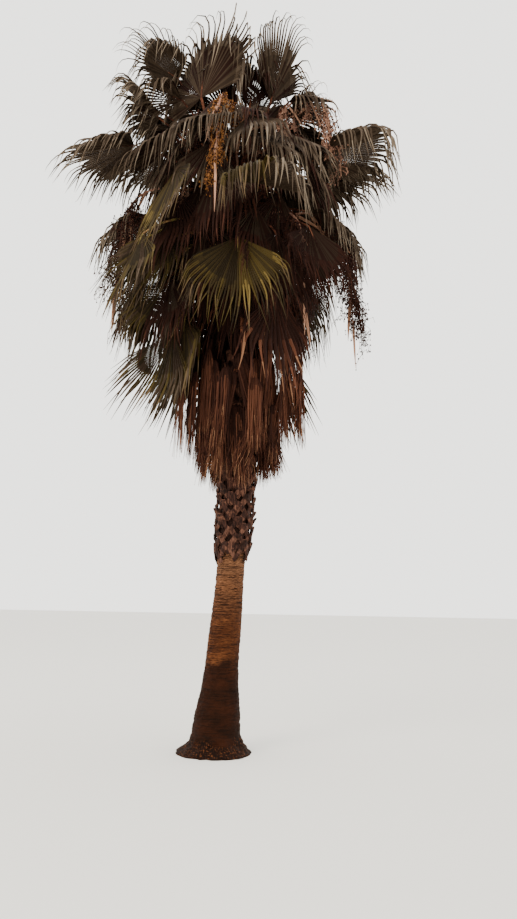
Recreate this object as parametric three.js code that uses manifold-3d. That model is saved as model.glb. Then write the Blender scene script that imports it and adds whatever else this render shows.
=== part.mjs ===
// A tall fan palm, rooted in the ground: a leaning ringed trunk with a collar of cut leaf
// bases, a skirt of dead fronds, a round crown of fan fronds whose tips hang, and arching
// fruit stalks. Millimetres, +Z up. The origin is the middle of the flat cut at ground
// level, and -Y is the side that the tree is usually seen from.
import * as THREE from "three";
import { mergeVertices } from "three/addons/utils/BufferGeometryUtils.js";
import Module from "manifold-3d";

const wasm = await Module();
wasm.setup();

const { PI, abs, cos, floor, max, min, sin } = Math;
const radians = THREE.MathUtils.degToRad;
const UP = new THREE.Vector3(0, 0, 1);
const DOWN = new THREE.Vector3(0, 0, -1);

// The trunk: its middle line swings out by `bow` up to `bowHeight`, then comes back.
const TRUNK = { bow: 200, bowHeight: 4200, sides: 15 };

// Height and radius of the trunk, from the flared foot to the tip of the bud.
const TRUNK_PROFILE = [
  [0, 400],
  [45, 345],
  [105, 280],
  [200, 257],
  [420, 238],
  [625, 204],
  [880, 181],
  [1140, 176],
  [1570, 164],
  [1950, 155],
  [2250, 172],
  [3000, 174],
  [4300, 168],
  [5300, 185],
  [6000, 215],
  [6400, 200],
  [6650, 140],
  [6850, 50],
];

// Cut leaf bases: wedges in rows round the trunk, each row turned by half a step.
const LEAF_BASES = {
  rows: 8,
  perRow: 6,
  lowest: 2030,
  highest: 3480,
  length: 230,
  width: 118,
  topShare: 0.62,
  thickness: 46,
  lean: 9,
  sunk: 16,
};

// A frond's parts: its hub, its outermost leaflets and the end of its stalk in the blade
// are shares of the blade's reach. The outermost leaflets start and stop to droop sooner
// by `sooner`, and a drooping leaflet swings `outward`.
const FROND = {
  hubShare: 0.45,
  shortestShare: 0.7,
  costaShare: 0.16,
  thickness: 15,
  stalkRoot: 34,
  stalkTip: 15,
  stalkSteps: 3,
  stalkSides: 4,
  sooner: [0.7, 0.35],
  outward: 1.2,
  baseChange: 40,
  stations: [0, 4, 8, 12],
  widths: [1, 0.8, 0.52],
};

// Every leaflet and fruit stalk follows a line of this many steps.
const PATH_STEPS = 12;

// Gaps: round a stalk's root at the trunk, and round a leaflet beside its neighbours.
const ROOT_GAP = 0.4;
const LEAFLET_GAP = 1.5;

// Sizes that are tried for a leaflet, largest first: share of its hub, share of its blade.
const LEAFLET_SIZES = [
  [1, 1],
  [1, 0.75],
  [1, 0.5],
  [1, 0],
  [0.65, 0],
  [0.4, 0],
];

// Fronds in tiers, from the young ones on top to the dead ones against the trunk. Each
// frond is [azimuth, rise, tilt, hinge, roll, stalk, reach]: azimuth runs from +X towards
// +Y, rise is the stalk's slope at the trunk, tilt its slope at the blade, hinge the
// blade's slope and roll its turn about its costa, all in degrees; stalk and reach are
// the stalk's and the blade's lengths. `bend` holds the shares of a leaflet's length
// beyond the hub where it starts and stops to droop, `cup` is how far a blade's sides
// stand up from flat, and `stations` and `widths` shape the leaflets beyond the hub.
const TIERS = [
  {
    name: "young",
    fronds: [
      [320, 64, 71, 70, 0, 1200, 1240],
      [80, 76, 70, 72, 0, 1200, 1200],
    ],
    base: 6500,
    spread: 49,
    leaflets: 9,
    hang: 0.85,
    bend: [0.5, 1],
    cup: 0.15,
  },
  {
    name: "crest",
    fronds: [
      [228, 40, 68, 92, 0, 1230, 1480],
      [194, 66, 56, 30, 0, 1700, 1040],
      [2, 66, 52, 56, 0, 1250, 820],
      [124, 66, 56, 50, 0, 1450, 1350],
    ],
    base: 6450,
    spread: 96,
    leaflets: 14,
    hang: 0.92,
    bend: [0.35, 0.9],
    cup: 0.1,
  },
  {
    name: "upper",
    fronds: [
      [186, 56, 38, 46, 0, 1540, 980],
      [195, 39, 7, -18, 0, 1470, 1160],
      [155, 53, 23, 14, 0, 1500, 1300],
      [100, 42, 14, 0, 0, 1250, 1350],
      [62, 52, 28, 16, 0, 1350, 1300],
      [18, 46, 18, 8, 0, 1250, 1250],
    ],
    base: 6330,
    spread: 74,
    leaflets: 11,
    hang: 0.85,
    bend: [0.15, 0.8],
    cup: -0.25,
  },
  {
    name: "middle",
    fronds: [
      [344, 52, 17, 13, 0, 1240, 1400],
      [283, 22, -32, -12, 0, 960, 1260],
      [168, 30, -12, -24, 0, 1150, 1250],
      [130, 36, -6, -12, 0, 1350, 1350],
      [84, 22, -22, -32, 0, 1200, 1350],
      [36, 34, -8, -14, 0, 1200, 1300],
      [2, 28, -12, -34, 0, 880, 1150],
    ],
    base: 6180,
    spread: 66,
    leaflets: 10,
    hang: 0.97,
    bend: [0.05, 0.5],
    cup: -0.25,
    stations: [0, 5, 12],
    widths: [1, 0.72],
  },
  {
    name: "inner",
    fronds: [
      [138, 56, 0, -46, 0, 780, 1150],
      [244, 70, 16, -34, 0, 960, 1250],
      [206, 52, 10, -38, 0, 1060, 1250],
      [300, 64, 12, -46, 0, 860, 1150],
      [26, 58, -4, -50, 0, 800, 1150],
    ],
    base: 6420,
    spread: 56,
    leaflets: 8,
    hang: 0.97,
    bend: [0, 0.5],
    cup: -0.1,
    stations: [0, 5, 12],
    widths: [1, 0.72],
  },
  {
    name: "drooping",
    fronds: [
      [270, -4, -66, -76, 0, 1120, 1340],
      [204, 15, -42, -62, -40, 1000, 1400],
      [228, 39, -13, -72, 12, 1139, 1300],
    ],
    base: 6050,
    spread: 62,
    leaflets: 10,
    hang: 0.8,
    bend: [0.1, 0.8],
    cup: 0,
    stations: [0, 6, 12],
    widths: [1, 0.75],
  },
  {
    name: "lower",
    fronds: [
      [323, 13, -39, -68, 20, 1040, 1150],
      [352, 15, -42, -72, 45, 860, 1050],
      [148, 20, -36, -56, 0, 1250, 1400],
      [106, 8, -52, -70, 0, 1200, 1400],
      [64, 18, -38, -60, 0, 1250, 1350],
      [24, 6, -54, -72, 0, 960, 1250],
      [209, -22, -62, -66, -40, 1240, 1250],
      [304, 6, -58, -78, 0, 860, 1380],
    ],
    base: 6000,
    spread: 62,
    leaflets: 9,
    hang: 0.95,
    bend: [0, 0.5],
    cup: 0,
    stations: [0, 6, 12],
    widths: [1, 0.75],
  },
  {
    name: "hanging",
    fronds: [
      [204, -28, -76, -64, -50, 1380, 1250],
      [158, -28, -76, -74, 0, 1300, 1250],
      [104, -24, -72, -72, 0, 1220, 1300],
      [52, -30, -76, -74, 0, 1280, 1250],
    ],
    base: 5600,
    spread: 48,
    leaflets: 8,
    hang: 0.6,
    bend: [0, 0.7],
    cup: -0.1,
    stations: [0, 6, 12],
    widths: [1, 0.75],
  },
  {
    name: "dead_outer",
    dead: true,
    fronds: [
      [216, -6, -84, -84, -45, 880, 1480],
      [272, -15, -84, -86, 0, 740, 1480],
      [318, -15, -84, -86, 0, 680, 1450],
      [342, -2, -82, -84, 50, 900, 1350],
      [44, -15, -84, -86, 0, 720, 1500],
      [100, -15, -84, -86, 0, 700, 1550],
      [160, -15, -84, -86, 0, 830, 1450],
    ],
    base: 5060,
    spread: 26,
    leaflets: 5,
    hang: 0.95,
    bend: [0, 0.3],
    cup: -0.4,
    stations: [0, 8, 12],
    widths: [1, 0.95],
  },
  {
    name: "dead_inner",
    dead: true,
    fronds: [
      [250, -30, -86, -88, 0, 470, 1400],
      [310, -30, -86, -88, 0, 470, 1330],
      [10, -30, -86, -88, 0, 470, 1250],
      [70, -30, -86, -88, 0, 470, 1370],
      [130, -30, -86, -88, 0, 470, 1400],
      [190, -30, -86, -88, 0, 470, 1350],
    ],
    base: 4400,
    spread: 18.5,
    leaflets: 5,
    hang: 0.95,
    bend: [0, 0.3],
    cup: -0.12,
    stations: [0, 8, 12],
    widths: [1, 0.95],
  },
];

// Fruit stalks: they arch out between the fronds and hang, with sprays along their ends.
// Each is [azimuth, rise, base, length, bend]: bend is the share of the length where the
// stalk starts to bend down, and `bendLength` the share in which it does.
const FRUIT = {
  stalks: [
    [183, 26, 6160, 2900, 0.2],
    [256, 68, 6270, 2700, 0.26],
    [334, 66, 6300, 2600, 0.4],
    [6, 22, 6030, 2700, 0.2],
    [116, 46, 6300, 2500, 0.15],
    [48, 30, 6250, 2400, 0.15],
    [215, 78, 6390, 2300, 0.3],
  ],
  bendLength: 0.45,
  root: 24,
  tip: 12,
  sides: 5,
  steps: 7,
  plumb: 0.97,
  sprayed: [4, 5, 6],
  spray: { length: 620, root: 42, tip: 16, sides: 4, steps: 2, bends: [0, 0.5] },
  sprayWay: { side: 0.5, up: -0.6, out: 0.25 },
};

// A number from -1 to 1 that is always the same for the same two whole numbers.
function vary(index, salt) {
  const wave = sin(index * 12.9898 + salt * 78.233) * 43758.5453;
  return 2 * (wave - floor(wave)) - 1;
}

// A curve from 0 to 1 between two edges, flat at both.
function smooth(low, high, value) {
  const share = min(1, max(0, (value - low) / (high - low)));
  return share * share * (3 - 2 * share);
}

function trunkCentre(height) {
  const swing = TRUNK.bow * sin(((PI / 2) * height) / TRUNK.bowHeight);
  return new THREE.Vector3(swing, 0, height);
}

function trunkRadius(height) {
  const above = TRUNK_PROFILE.findIndex(([level]) => level > height);
  const [lowLevel, lowRadius] = TRUNK_PROFILE[above - 1];
  const [highLevel, highRadius] = TRUNK_PROFILE[above];
  const share = (height - lowLevel) / (highLevel - lowLevel);
  return lowRadius + share * (highRadius - lowRadius);
}

// A closed geometry as a solid, turned the right way out.
function solidOf(geometry) {
  const bare = geometry.index ? geometry.toNonIndexed() : geometry.clone();
  bare.deleteAttribute("normal");
  bare.deleteAttribute("uv");
  const merged = mergeVertices(bare, 1e-3);
  const vertProperties = new Float32Array(merged.attributes.position.array);
  const triVerts = new Uint32Array(merged.index.array);
  const made = new wasm.Manifold(
    new wasm.Mesh({ numProp: 3, vertProperties, triVerts }),
  );
  if (made.volume() >= 0) return made;
  const turned = new Uint32Array(triVerts).reverse();
  return new wasm.Manifold(
    new wasm.Mesh({ numProp: 3, vertProperties, triVerts: turned }),
  );
}

// A solid as a geometry whose own zero is at `origin`.
function geometryOf(solid, origin) {
  const mesh = solid.getMesh();
  const positions = new Float32Array(mesh.numVert * 3);
  for (let i = 0; i < mesh.numVert; i++) {
    const at = i * mesh.numProp;
    positions.set(mesh.vertProperties.subarray(at, at + 3), i * 3);
  }
  const geometry = new THREE.BufferGeometry()
    .setAttribute("position", new THREE.BufferAttribute(positions, 3))
    .setIndex(new THREE.BufferAttribute(new Uint32Array(mesh.triVerts), 1));
  geometry.translate(-origin.x, -origin.y, -origin.z);
  geometry.computeVertexNormals();
  return geometry;
}

function boxOf(solid) {
  const { min: low, max: high } = solid.boundingBox();
  return new THREE.Box3(
    new THREE.Vector3(...low),
    new THREE.Vector3(...high),
  );
}

// Whether a solid shares space with any of the others, each kept with its box.
function meets(solid, others) {
  const box = boxOf(solid);
  return others.some((other) => {
    if (!box.intersectsBox(other.box)) return false;
    const common = solid.intersect(other.solid);
    const shared = common.numTri() > 0;
    common.delete();
    return shared;
  });
}

// The trunk's column, `gap` wider than life so that others can be cut clear of it.
function column(gap) {
  const profile = TRUNK_PROFILE.map(
    ([height, radius]) => new THREE.Vector2(radius + gap, height),
  );
  const foot = new THREE.Vector2(0, 0);
  const top = new THREE.Vector2(0, profile.at(-1).y + gap);
  const geometry = new THREE.LatheGeometry([foot, ...profile, top], TRUNK.sides);
  geometry.rotateX(PI / 2);
  const position = geometry.attributes.position;
  for (let i = 0; i < position.count; i++)
    position.setX(i, position.getX(i) + trunkCentre(position.getZ(i)).x);
  return solidOf(geometry);
}

// One cut leaf base: a wedge that leans out of the trunk, its foot sunk in the wood.
function leafBase(height, azimuth) {
  const { length, width, topShare, thickness, lean, sunk } = LEAF_BASES;
  const geometry = new THREE.BoxGeometry(thickness, width, length);
  const position = geometry.attributes.position;
  for (let i = 0; i < position.count; i++)
    if (position.getZ(i) > 0) position.setY(i, position.getY(i) * topShare);
  geometry.translate(thickness / 2 - sunk, 0, length / 2);
  geometry.rotateY(radians(lean));
  geometry.translate(trunkRadius(height) - thickness / 2, 0, 0);
  geometry.rotateZ(azimuth);
  geometry.translate(...trunkCentre(height));
  return solidOf(geometry);
}

function trunkSolid() {
  const { rows, perRow, lowest, highest } = LEAF_BASES;
  const bases = [];
  for (let row = 0; row < rows; row++)
    for (let i = 0; i < perRow; i++) {
      const height = lowest + ((highest - lowest) * row) / (rows - 1);
      const azimuth = (2 * PI * (i + (row % 2) / 2)) / perRow;
      bases.push(leafBase(height, azimuth));
    }
  return wasm.Manifold.union([column(0), ...bases]);
}

// A tapered limb: a cylinder whose rings are carried along a path of points and sides.
function limb(pathAt, rootRadius, tipRadius, sides, steps) {
  const geometry = new THREE.CylinderGeometry(
    tipRadius,
    rootRadius,
    1,
    sides,
    steps,
  );
  const position = geometry.attributes.position;
  for (let i = 0; i < position.count; i++) {
    const { point, side, normal } = pathAt(position.getY(i) + 0.5);
    const moved = point
      .clone()
      .addScaledVector(side, position.getX(i))
      .addScaledVector(normal, position.getZ(i));
    position.setXYZ(i, moved.x, moved.y, moved.z);
  }
  return solidOf(geometry);
}

// How far out and up an evenly bending stalk gets at a share of its length.
function arc(length, from, to, share) {
  const turn = to - from;
  if (abs(turn) < 1e-6)
    return [length * share * cos(from), length * share * sin(from)];
  const slope = from + turn * share;
  return [
    (length * (sin(slope) - sin(from))) / turn,
    (length * (cos(from) - cos(slope))) / turn,
  ];
}

// One frond of a tier, with its own small changes to the tier's sizes.
function frondOf(tier, shape, index) {
  const [azimuth, rise, tilt, hinge, roll, stalk, reach] = shape;
  return {
    stations: FROND.stations,
    widths: FROND.widths,
    ...tier,
    name: `${tier.name}_frond_${index + 1}`,
    azimuth: radians(azimuth),
    rise: radians(rise),
    tilt: radians(tilt),
    hinge: radians(hinge),
    roll: radians(roll),
    stalk,
    reach,
    spread: radians(tier.spread),
    base: tier.base + FROND.baseChange * vary(azimuth, 1),
  };
}

// The frond's foot, its stalk's path, and the axes of its blade: costa, side and normal.
function frameOf(frond) {
  const out = new THREE.Vector3(cos(frond.azimuth), sin(frond.azimuth), 0);
  const side = new THREE.Vector3(-sin(frond.azimuth), cos(frond.azimuth), 0);
  const foot = trunkCentre(frond.base);
  const sloped = (slope) =>
    out.clone().multiplyScalar(cos(slope)).addScaledVector(UP, sin(slope));
  const costa = sloped(frond.hinge);
  const costaLength = FROND.costaShare * frond.reach;
  const stalkAt = (share) => {
    const reached = share * (frond.stalk + costaLength);
    const along = min(1, reached / frond.stalk);
    const [away, up] = arc(frond.stalk, frond.rise, frond.tilt, along);
    const forward = sloped(frond.rise + (frond.tilt - frond.rise) * along);
    const point = foot
      .clone()
      .addScaledVector(out, away)
      .addScaledVector(UP, up)
      .addScaledVector(costa, max(0, reached - frond.stalk));
    return { point, side, normal: forward.clone().cross(side) };
  };
  const hub = stalkAt(frond.stalk / (frond.stalk + costaLength)).point;
  const across = side.clone().applyAxisAngle(costa, frond.roll);
  return { out, foot, stalkAt, hub, costa, side: across, normal: costa.clone().cross(across) };
}

// The way that the blade runs from its hub at an angle from its costa.
function wayAt(frame, frond, angle) {
  return frame.costa
    .clone()
    .multiplyScalar(cos(angle))
    .addScaledVector(frame.side, sin(angle))
    .addScaledVector(frame.normal, frond.cup * abs(sin(angle)))
    .normalize();
}

function reachAt(frond, angle) {
  const share = angle / frond.spread;
  return frond.reach * (1 - (1 - FROND.shortestShare) * share * share);
}

// A leaflet's middle line beyond the hub: straight on at first, then bending to hang.
function leafletPath(frame, frond, angle) {
  const way = wayAt(frame, frond, angle);
  const reach = reachAt(frond, angle);
  const step = (reach * (1 - FROND.hubShare)) / PATH_STEPS;
  const aside = abs(angle) / frond.spread;
  const [from, to] = frond.bend.map((share, i) => share * (1 - FROND.sooner[i] * aside));
  const across = frame.side
    .clone()
    .multiplyScalar(cos(angle))
    .addScaledVector(frame.costa, -sin(angle));
  const point = frame.hub.clone().addScaledVector(way, reach * FROND.hubShare);
  const path = [];
  for (let i = 0; i <= PATH_STEPS; i++) {
    const bent = frond.hang * smooth(from, to, i / PATH_STEPS);
    const heading = way
      .clone()
      .multiplyScalar(1 - bent)
      .addScaledVector(UP, -bent)
      .addScaledVector(frame.out, FROND.outward * bent * (1 - bent))
      .normalize();
    const normal = heading.clone().cross(across).normalize();
    path.push({ point: point.clone(), across: normal.clone().cross(heading), normal });
    point.addScaledVector(heading, step);
  }
  return path;
}

// A point at a share of a path's steps.
function pointOn(path, share) {
  const at = share * PATH_STEPS;
  const low = min(PATH_STEPS - 1, floor(at));
  return path[low].point.clone().lerp(path[low + 1].point, at - low);
}

// Edge points of one leaflet beyond the hub, from the hub's rim to its tip.
function leafletEdges(path, frond, rimWidth, bladeShare, extra) {
  const { stations, widths } = frond;
  return stations.slice(1).map((step, i) => {
    const share = (step / PATH_STEPS) * bladeShare;
    const point = pointOn(path, share);
    if (step === PATH_STEPS) return [point.addScaledVector(path[0].normal, extra)];
    const { across, normal } = path[floor(share * PATH_STEPS)];
    const half = (rimWidth * widths[i + 1]) / 2 + extra;
    const thin = FROND.thickness / 2 + extra;
    const corner = (h, t) =>
      point.clone().addScaledVector(across, h).addScaledVector(normal, t);
    return [corner(-half, thin), corner(half, thin), corner(-half, -thin), corner(half, -thin)];
  });
}

// The triangles of leaflets from..to (not including `to`) as one closed surface: a hub cut
// like a fan round the stalk's end, with a blade on each part of its rim that has one.
function fanSolid(frame, frond, sizes, from, to, extra) {
  const vertices = [];
  const faces = [];
  const add = (point) => vertices.push(point) - 1;
  const face = (...corners) => {
    for (let i = 2; i < corners.length; i++)
      faces.push(corners[0], corners[i - 1], corners[i]);
  };
  const angleOf = (k) => frond.spread * ((2 * k) / frond.leaflets - 1);
  const half = FROND.thickness / 2 + extra;
  const middleTop = add(frame.hub.clone().addScaledVector(frame.normal, half));
  const middleLow = add(frame.hub.clone().addScaledVector(frame.normal, -half));
  const rim = [];
  for (let k = from; k <= to; k++) {
    const shares = [sizes[k - 1], sizes[k]].filter((size, side) =>
      side ? k < to : k > from,
    );
    const hubShare = min(...shares.map(([hub]) => hub));
    const radius = reachAt(frond, angleOf(k)) * FROND.hubShare * hubShare;
    const point = frame.hub
      .clone()
      .addScaledVector(wayAt(frame, frond, angleOf(k)), radius);
    rim.push([
      add(point.clone().addScaledVector(frame.normal, half)),
      add(point.clone().addScaledVector(frame.normal, -half)),
    ]);
  }
  for (let i = from; i < to; i++) {
    const [leftTop, leftLow] = rim[i - from];
    const [rightTop, rightLow] = rim[i - from + 1];
    face(middleTop, leftTop, rightTop);
    face(middleLow, rightLow, leftLow);
    const bladeShare = sizes[i][1];
    if (!bladeShare) {
      face(leftTop, leftLow, rightLow, rightTop);
      continue;
    }
    const middle = (angleOf(i) + angleOf(i + 1)) / 2;
    const path = leafletPath(frame, frond, middle);
    const rimRadius = reachAt(frond, middle) * FROND.hubShare;
    const rimWidth = 2 * rimRadius * sin(frond.spread / frond.leaflets);
    let ring = [leftTop, rightTop, leftLow, rightLow];
    for (const corners of leafletEdges(path, frond, rimWidth, bladeShare, extra)) {
      const next = corners.map(add);
      if (next.length === 1) {
        face(ring[0], next[0], ring[1]);
        face(ring[3], next[0], ring[2]);
        face(ring[2], next[0], ring[0]);
        face(ring[1], next[0], ring[3]);
        break;
      }
      face(ring[0], next[0], next[1], ring[1]);
      face(ring[3], next[3], next[2], ring[2]);
      face(ring[2], next[2], next[0], ring[0]);
      face(ring[1], next[1], next[3], ring[3]);
      ring = next;
    }
  }
  const [firstTop, firstLow] = rim[0];
  const [lastTop, lastLow] = rim.at(-1);
  face(middleTop, middleLow, firstLow, firstTop);
  face(middleTop, lastTop, lastLow, middleLow);
  const geometry = new THREE.BufferGeometry()
    .setAttribute(
      "position",
      new THREE.Float32BufferAttribute(vertices.flatMap((v) => v.toArray()), 3),
    )
    .setIndex(faces);
  return solidOf(geometry);
}

function stalkSolid(frame, gapColumn) {
  const whole = limb(
    frame.stalkAt,
    FROND.stalkRoot,
    FROND.stalkTip,
    FROND.stalkSides,
    FROND.stalkSteps,
  );
  return whole.subtract(gapColumn);
}

// A line that sets off along a way and bends down to hang, as points with their headings.
function hangingLine(start, way, length, [from, to]) {
  const axis = way.clone().cross(DOWN).normalize();
  const turn = FRUIT.plumb * way.angleTo(DOWN);
  const point = start.clone();
  const line = [];
  for (let i = 0; i <= PATH_STEPS; i++) {
    const bent = smooth(from, to, i / PATH_STEPS);
    const heading = way.clone().applyAxisAngle(axis, turn * bent);
    line.push({ point: point.clone(), heading });
    point.addScaledVector(heading, length / PATH_STEPS);
  }
  return line;
}

// A limb that follows such a line, flat across `side`.
function limbAlong(line, side, { root, tip, sides, steps }) {
  const at = (share) => {
    const { heading } = line[min(PATH_STEPS - 1, floor(share * PATH_STEPS))];
    return { point: pointOn(line, share), side, normal: heading.clone().cross(side) };
  };
  return limb(at, root, tip, sides, steps);
}

// A fruit stalk with its sprays, which hang off it to one side and the other in turn.
function fruitSolid([azimuth, rise, base, length, bend], gapColumn) {
  const { spray, sprayWay, bendLength } = FRUIT;
  const angle = radians(azimuth);
  const slope = radians(rise);
  const out = new THREE.Vector3(cos(angle), sin(angle), 0);
  const side = new THREE.Vector3(-sin(angle), cos(angle), 0);
  const way = out.clone().multiplyScalar(cos(slope)).addScaledVector(UP, sin(slope));
  const line = hangingLine(trunkCentre(base), way, length, [bend, bend + bendLength]);
  const sprays = FRUIT.sprayed.map((step, i) => {
    const off = side
      .clone()
      .multiplyScalar(i % 2 ? sprayWay.side : -sprayWay.side)
      .addScaledVector(UP, sprayWay.up)
      .addScaledVector(out, sprayWay.out)
      .normalize();
    const start = pointOn(line, step / FRUIT.steps);
    const across = off.clone().cross(out).normalize();
    return limbAlong(hangingLine(start, off, spray.length, spray.bends), across, spray);
  });
  return wasm.Manifold.union([limbAlong(line, side, FRUIT), ...sprays]).subtract(gapColumn);
}

// The largest size of each leaflet that keeps clear of what is there already.
function fittedSizes(frame, frond, others) {
  const sizes = [];
  for (let i = 0; i < frond.leaflets; i++) {
    const fits = LEAFLET_SIZES.find((size) => {
      const lone = [];
      lone[i] = size;
      const tried = fanSolid(frame, frond, lone, i, i + 1, LEAFLET_GAP);
      const blocked = meets(tried, others);
      tried.delete();
      return !blocked;
    });
    sizes.push(fits ?? LEAFLET_SIZES.at(-1));
  }
  return sizes;
}

const material = (color, roughness) =>
  new THREE.MeshStandardMaterial({ color, roughness, metalness: 0 });
const BARK = material("#7a5236", 0.95);
const LIVE = material("#5a5a30", 0.6);
const DEAD = material("#6b4026", 0.85);
const FRUITING = material("#6d4a35", 0.8);

const palm = new THREE.Group();
const crown = new THREE.Group();
palm.add(crown);

function place(group, name, solid, origin, look) {
  const mesh = new THREE.Mesh(geometryOf(solid, origin), look);
  mesh.name = name;
  mesh.position.copy(origin);
  group.add(mesh);
}

const trunk = trunkSolid();
const gapColumn = column(ROOT_GAP);
place(palm, "trunk", trunk, new THREE.Vector3(), BARK);

const placed = [{ solid: trunk, box: boxOf(trunk) }];
FRUIT.stalks.forEach((stalk, index) => {
  const solid = fruitSolid(stalk, gapColumn);
  placed.push({ solid, box: boxOf(solid) });
  const [, , base] = stalk;
  place(crown, `fruit_stalk_${index + 1}`, solid, trunkCentre(base), FRUITING);
});

// Every frond's stalk and smallest hub come first, so that no leaflet takes their room.
const fronds = TIERS.flatMap((tier) =>
  tier.fronds.map((shape, index) => {
    const frond = frondOf(tier, shape, index);
    const frame = frameOf(frond);
    const stalk = stalkSolid(frame, gapColumn);
    const smallest = Array(frond.leaflets).fill(LEAFLET_SIZES.at(-1));
    const hub = fanSolid(frame, frond, smallest, 0, frond.leaflets, LEAFLET_GAP);
    const solid = hub.add(stalk);
    return { frond, frame, stalk, solid, box: boxOf(solid) };
  }),
);
fronds.forEach(({ frond, frame, stalk }, index) => {
  const sizes = fittedSizes(frame, frond, [...placed, ...fronds.slice(index + 1)]);
  const solid = fanSolid(frame, frond, sizes, 0, frond.leaflets, 0).add(stalk);
  placed.push({ solid, box: boxOf(solid) });
  place(crown, frond.name, solid, frame.foot, frond.dead ? DEAD : LIVE);
});

export default palm;
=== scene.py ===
"""The looks of a tall fan palm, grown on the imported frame.

Every frond of the frame is grown again by the same rule, with many more and finer
leaflets. The trunk gets a skin with ring cracks and a collar of split leaf bases, and
the fruit stalks get their sprays of twigs and fruit. Everything is in metres.
"""

from __future__ import annotations

import logging
import math
from collections.abc import Sequence
from dataclasses import dataclass, field, replace
from enum import Enum

import bpy
import numpy as np
from mathutils import Matrix, Vector

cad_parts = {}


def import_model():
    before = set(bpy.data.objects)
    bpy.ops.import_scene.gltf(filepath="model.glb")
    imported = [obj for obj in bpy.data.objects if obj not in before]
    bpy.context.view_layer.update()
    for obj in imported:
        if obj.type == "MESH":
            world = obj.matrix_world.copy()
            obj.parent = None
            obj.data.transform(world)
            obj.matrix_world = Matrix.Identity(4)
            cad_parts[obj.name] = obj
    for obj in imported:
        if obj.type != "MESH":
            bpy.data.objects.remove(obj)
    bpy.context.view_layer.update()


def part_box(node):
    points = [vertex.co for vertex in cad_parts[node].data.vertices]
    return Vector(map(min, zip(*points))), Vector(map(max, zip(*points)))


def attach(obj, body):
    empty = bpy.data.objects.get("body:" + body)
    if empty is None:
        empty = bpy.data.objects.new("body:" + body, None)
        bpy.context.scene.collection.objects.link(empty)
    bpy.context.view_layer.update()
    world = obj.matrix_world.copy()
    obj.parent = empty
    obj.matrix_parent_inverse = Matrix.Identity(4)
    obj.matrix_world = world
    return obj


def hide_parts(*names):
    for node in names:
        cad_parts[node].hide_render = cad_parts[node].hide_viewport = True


log = logging.getLogger("palm")

MM = 0.001
UP = np.array([0.0, 0.0, 1.0])
DOWN = -UP
TAU = 2 * math.pi
SHEEN = 0.08

Colour = tuple[float, float, float]
Range = tuple[float, float]


@dataclass(frozen=True)
class Plain:
    """A finish with nothing that varies.

    Attributes:
        colour: Red, green and blue as a paint chart gives them, from 0 to 1.
        roughness: How matt the surface is.
    """

    colour: Colour
    roughness: float = 0.6

    def build(self, name: str) -> bpy.types.Material:
        """Makes the material.

        Args:
            name: The material's name.

        Returns:
            The material.
        """
        graph = Graph(name)
        graph.put(graph.surface.inputs["Base Color"], linear(self.colour))
        graph.put(graph.surface.inputs["Roughness"], self.roughness)
        return graph.material


class Shade(Enum):
    """The plain colours that leaflets, twigs and fruit are dealt."""

    # The darkest shade is painted shade: the dark inside of the crown and the clefts between strands.
    CORE_SHADOW = Plain((0.130, 0.068, 0.048), 0.9)
    # The under shades are the fronds' grey-brown undersides, darkened further as painted shade because
    # they face away from the light.
    UNDER_DARK = Plain((0.170, 0.128, 0.094), 0.8)
    UNDER = Plain((0.225, 0.178, 0.134), 0.75)
    GREY = Plain((0.285, 0.236, 0.190), 0.7)
    GREY_TIP = Plain((0.41, 0.358, 0.300), 0.7)
    # OLIVE_DARK is olive with painted shade; OLIVE_LIT and the yellow after it are olive and
    # yellow-green with painted light.
    OLIVE_DARK = Plain((0.120, 0.090, 0.042), 0.7)
    OLIVE = Plain((0.18, 0.142, 0.068), 0.65)
    OLIVE_LIT = Plain((0.25, 0.203, 0.088), 0.6)
    YELLOW_LIT = Plain((0.38, 0.315, 0.160), 0.6)
    TAN = Plain((0.33, 0.265, 0.180), 0.7)
    # RUST_DARK is dark rust that also serves as painted shade in clefts and inside the crown, and
    # RUST_LIT is rust with painted light.
    RUST_DARK = Plain((0.165, 0.086, 0.060), 0.85)
    RUST = Plain((0.235, 0.130, 0.090), 0.8)
    RUST_LIT = Plain((0.335, 0.200, 0.140), 0.75)
    STRAW = Plain((0.50, 0.350, 0.255), 0.7)
    TWIG = Plain((0.21, 0.120, 0.090), 0.8)
    TWIG_PINK = Plain((0.55, 0.405, 0.340), 0.75)
    TWIG_ORANGE = Plain((0.48, 0.315, 0.165), 0.75)
    FRUIT = Plain((0.13, 0.070, 0.055), 0.6)
    FRUIT_ORANGE = Plain((0.44, 0.275, 0.120), 0.6)
    BRACT = Plain((0.62, 0.465, 0.375), 0.7)


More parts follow.
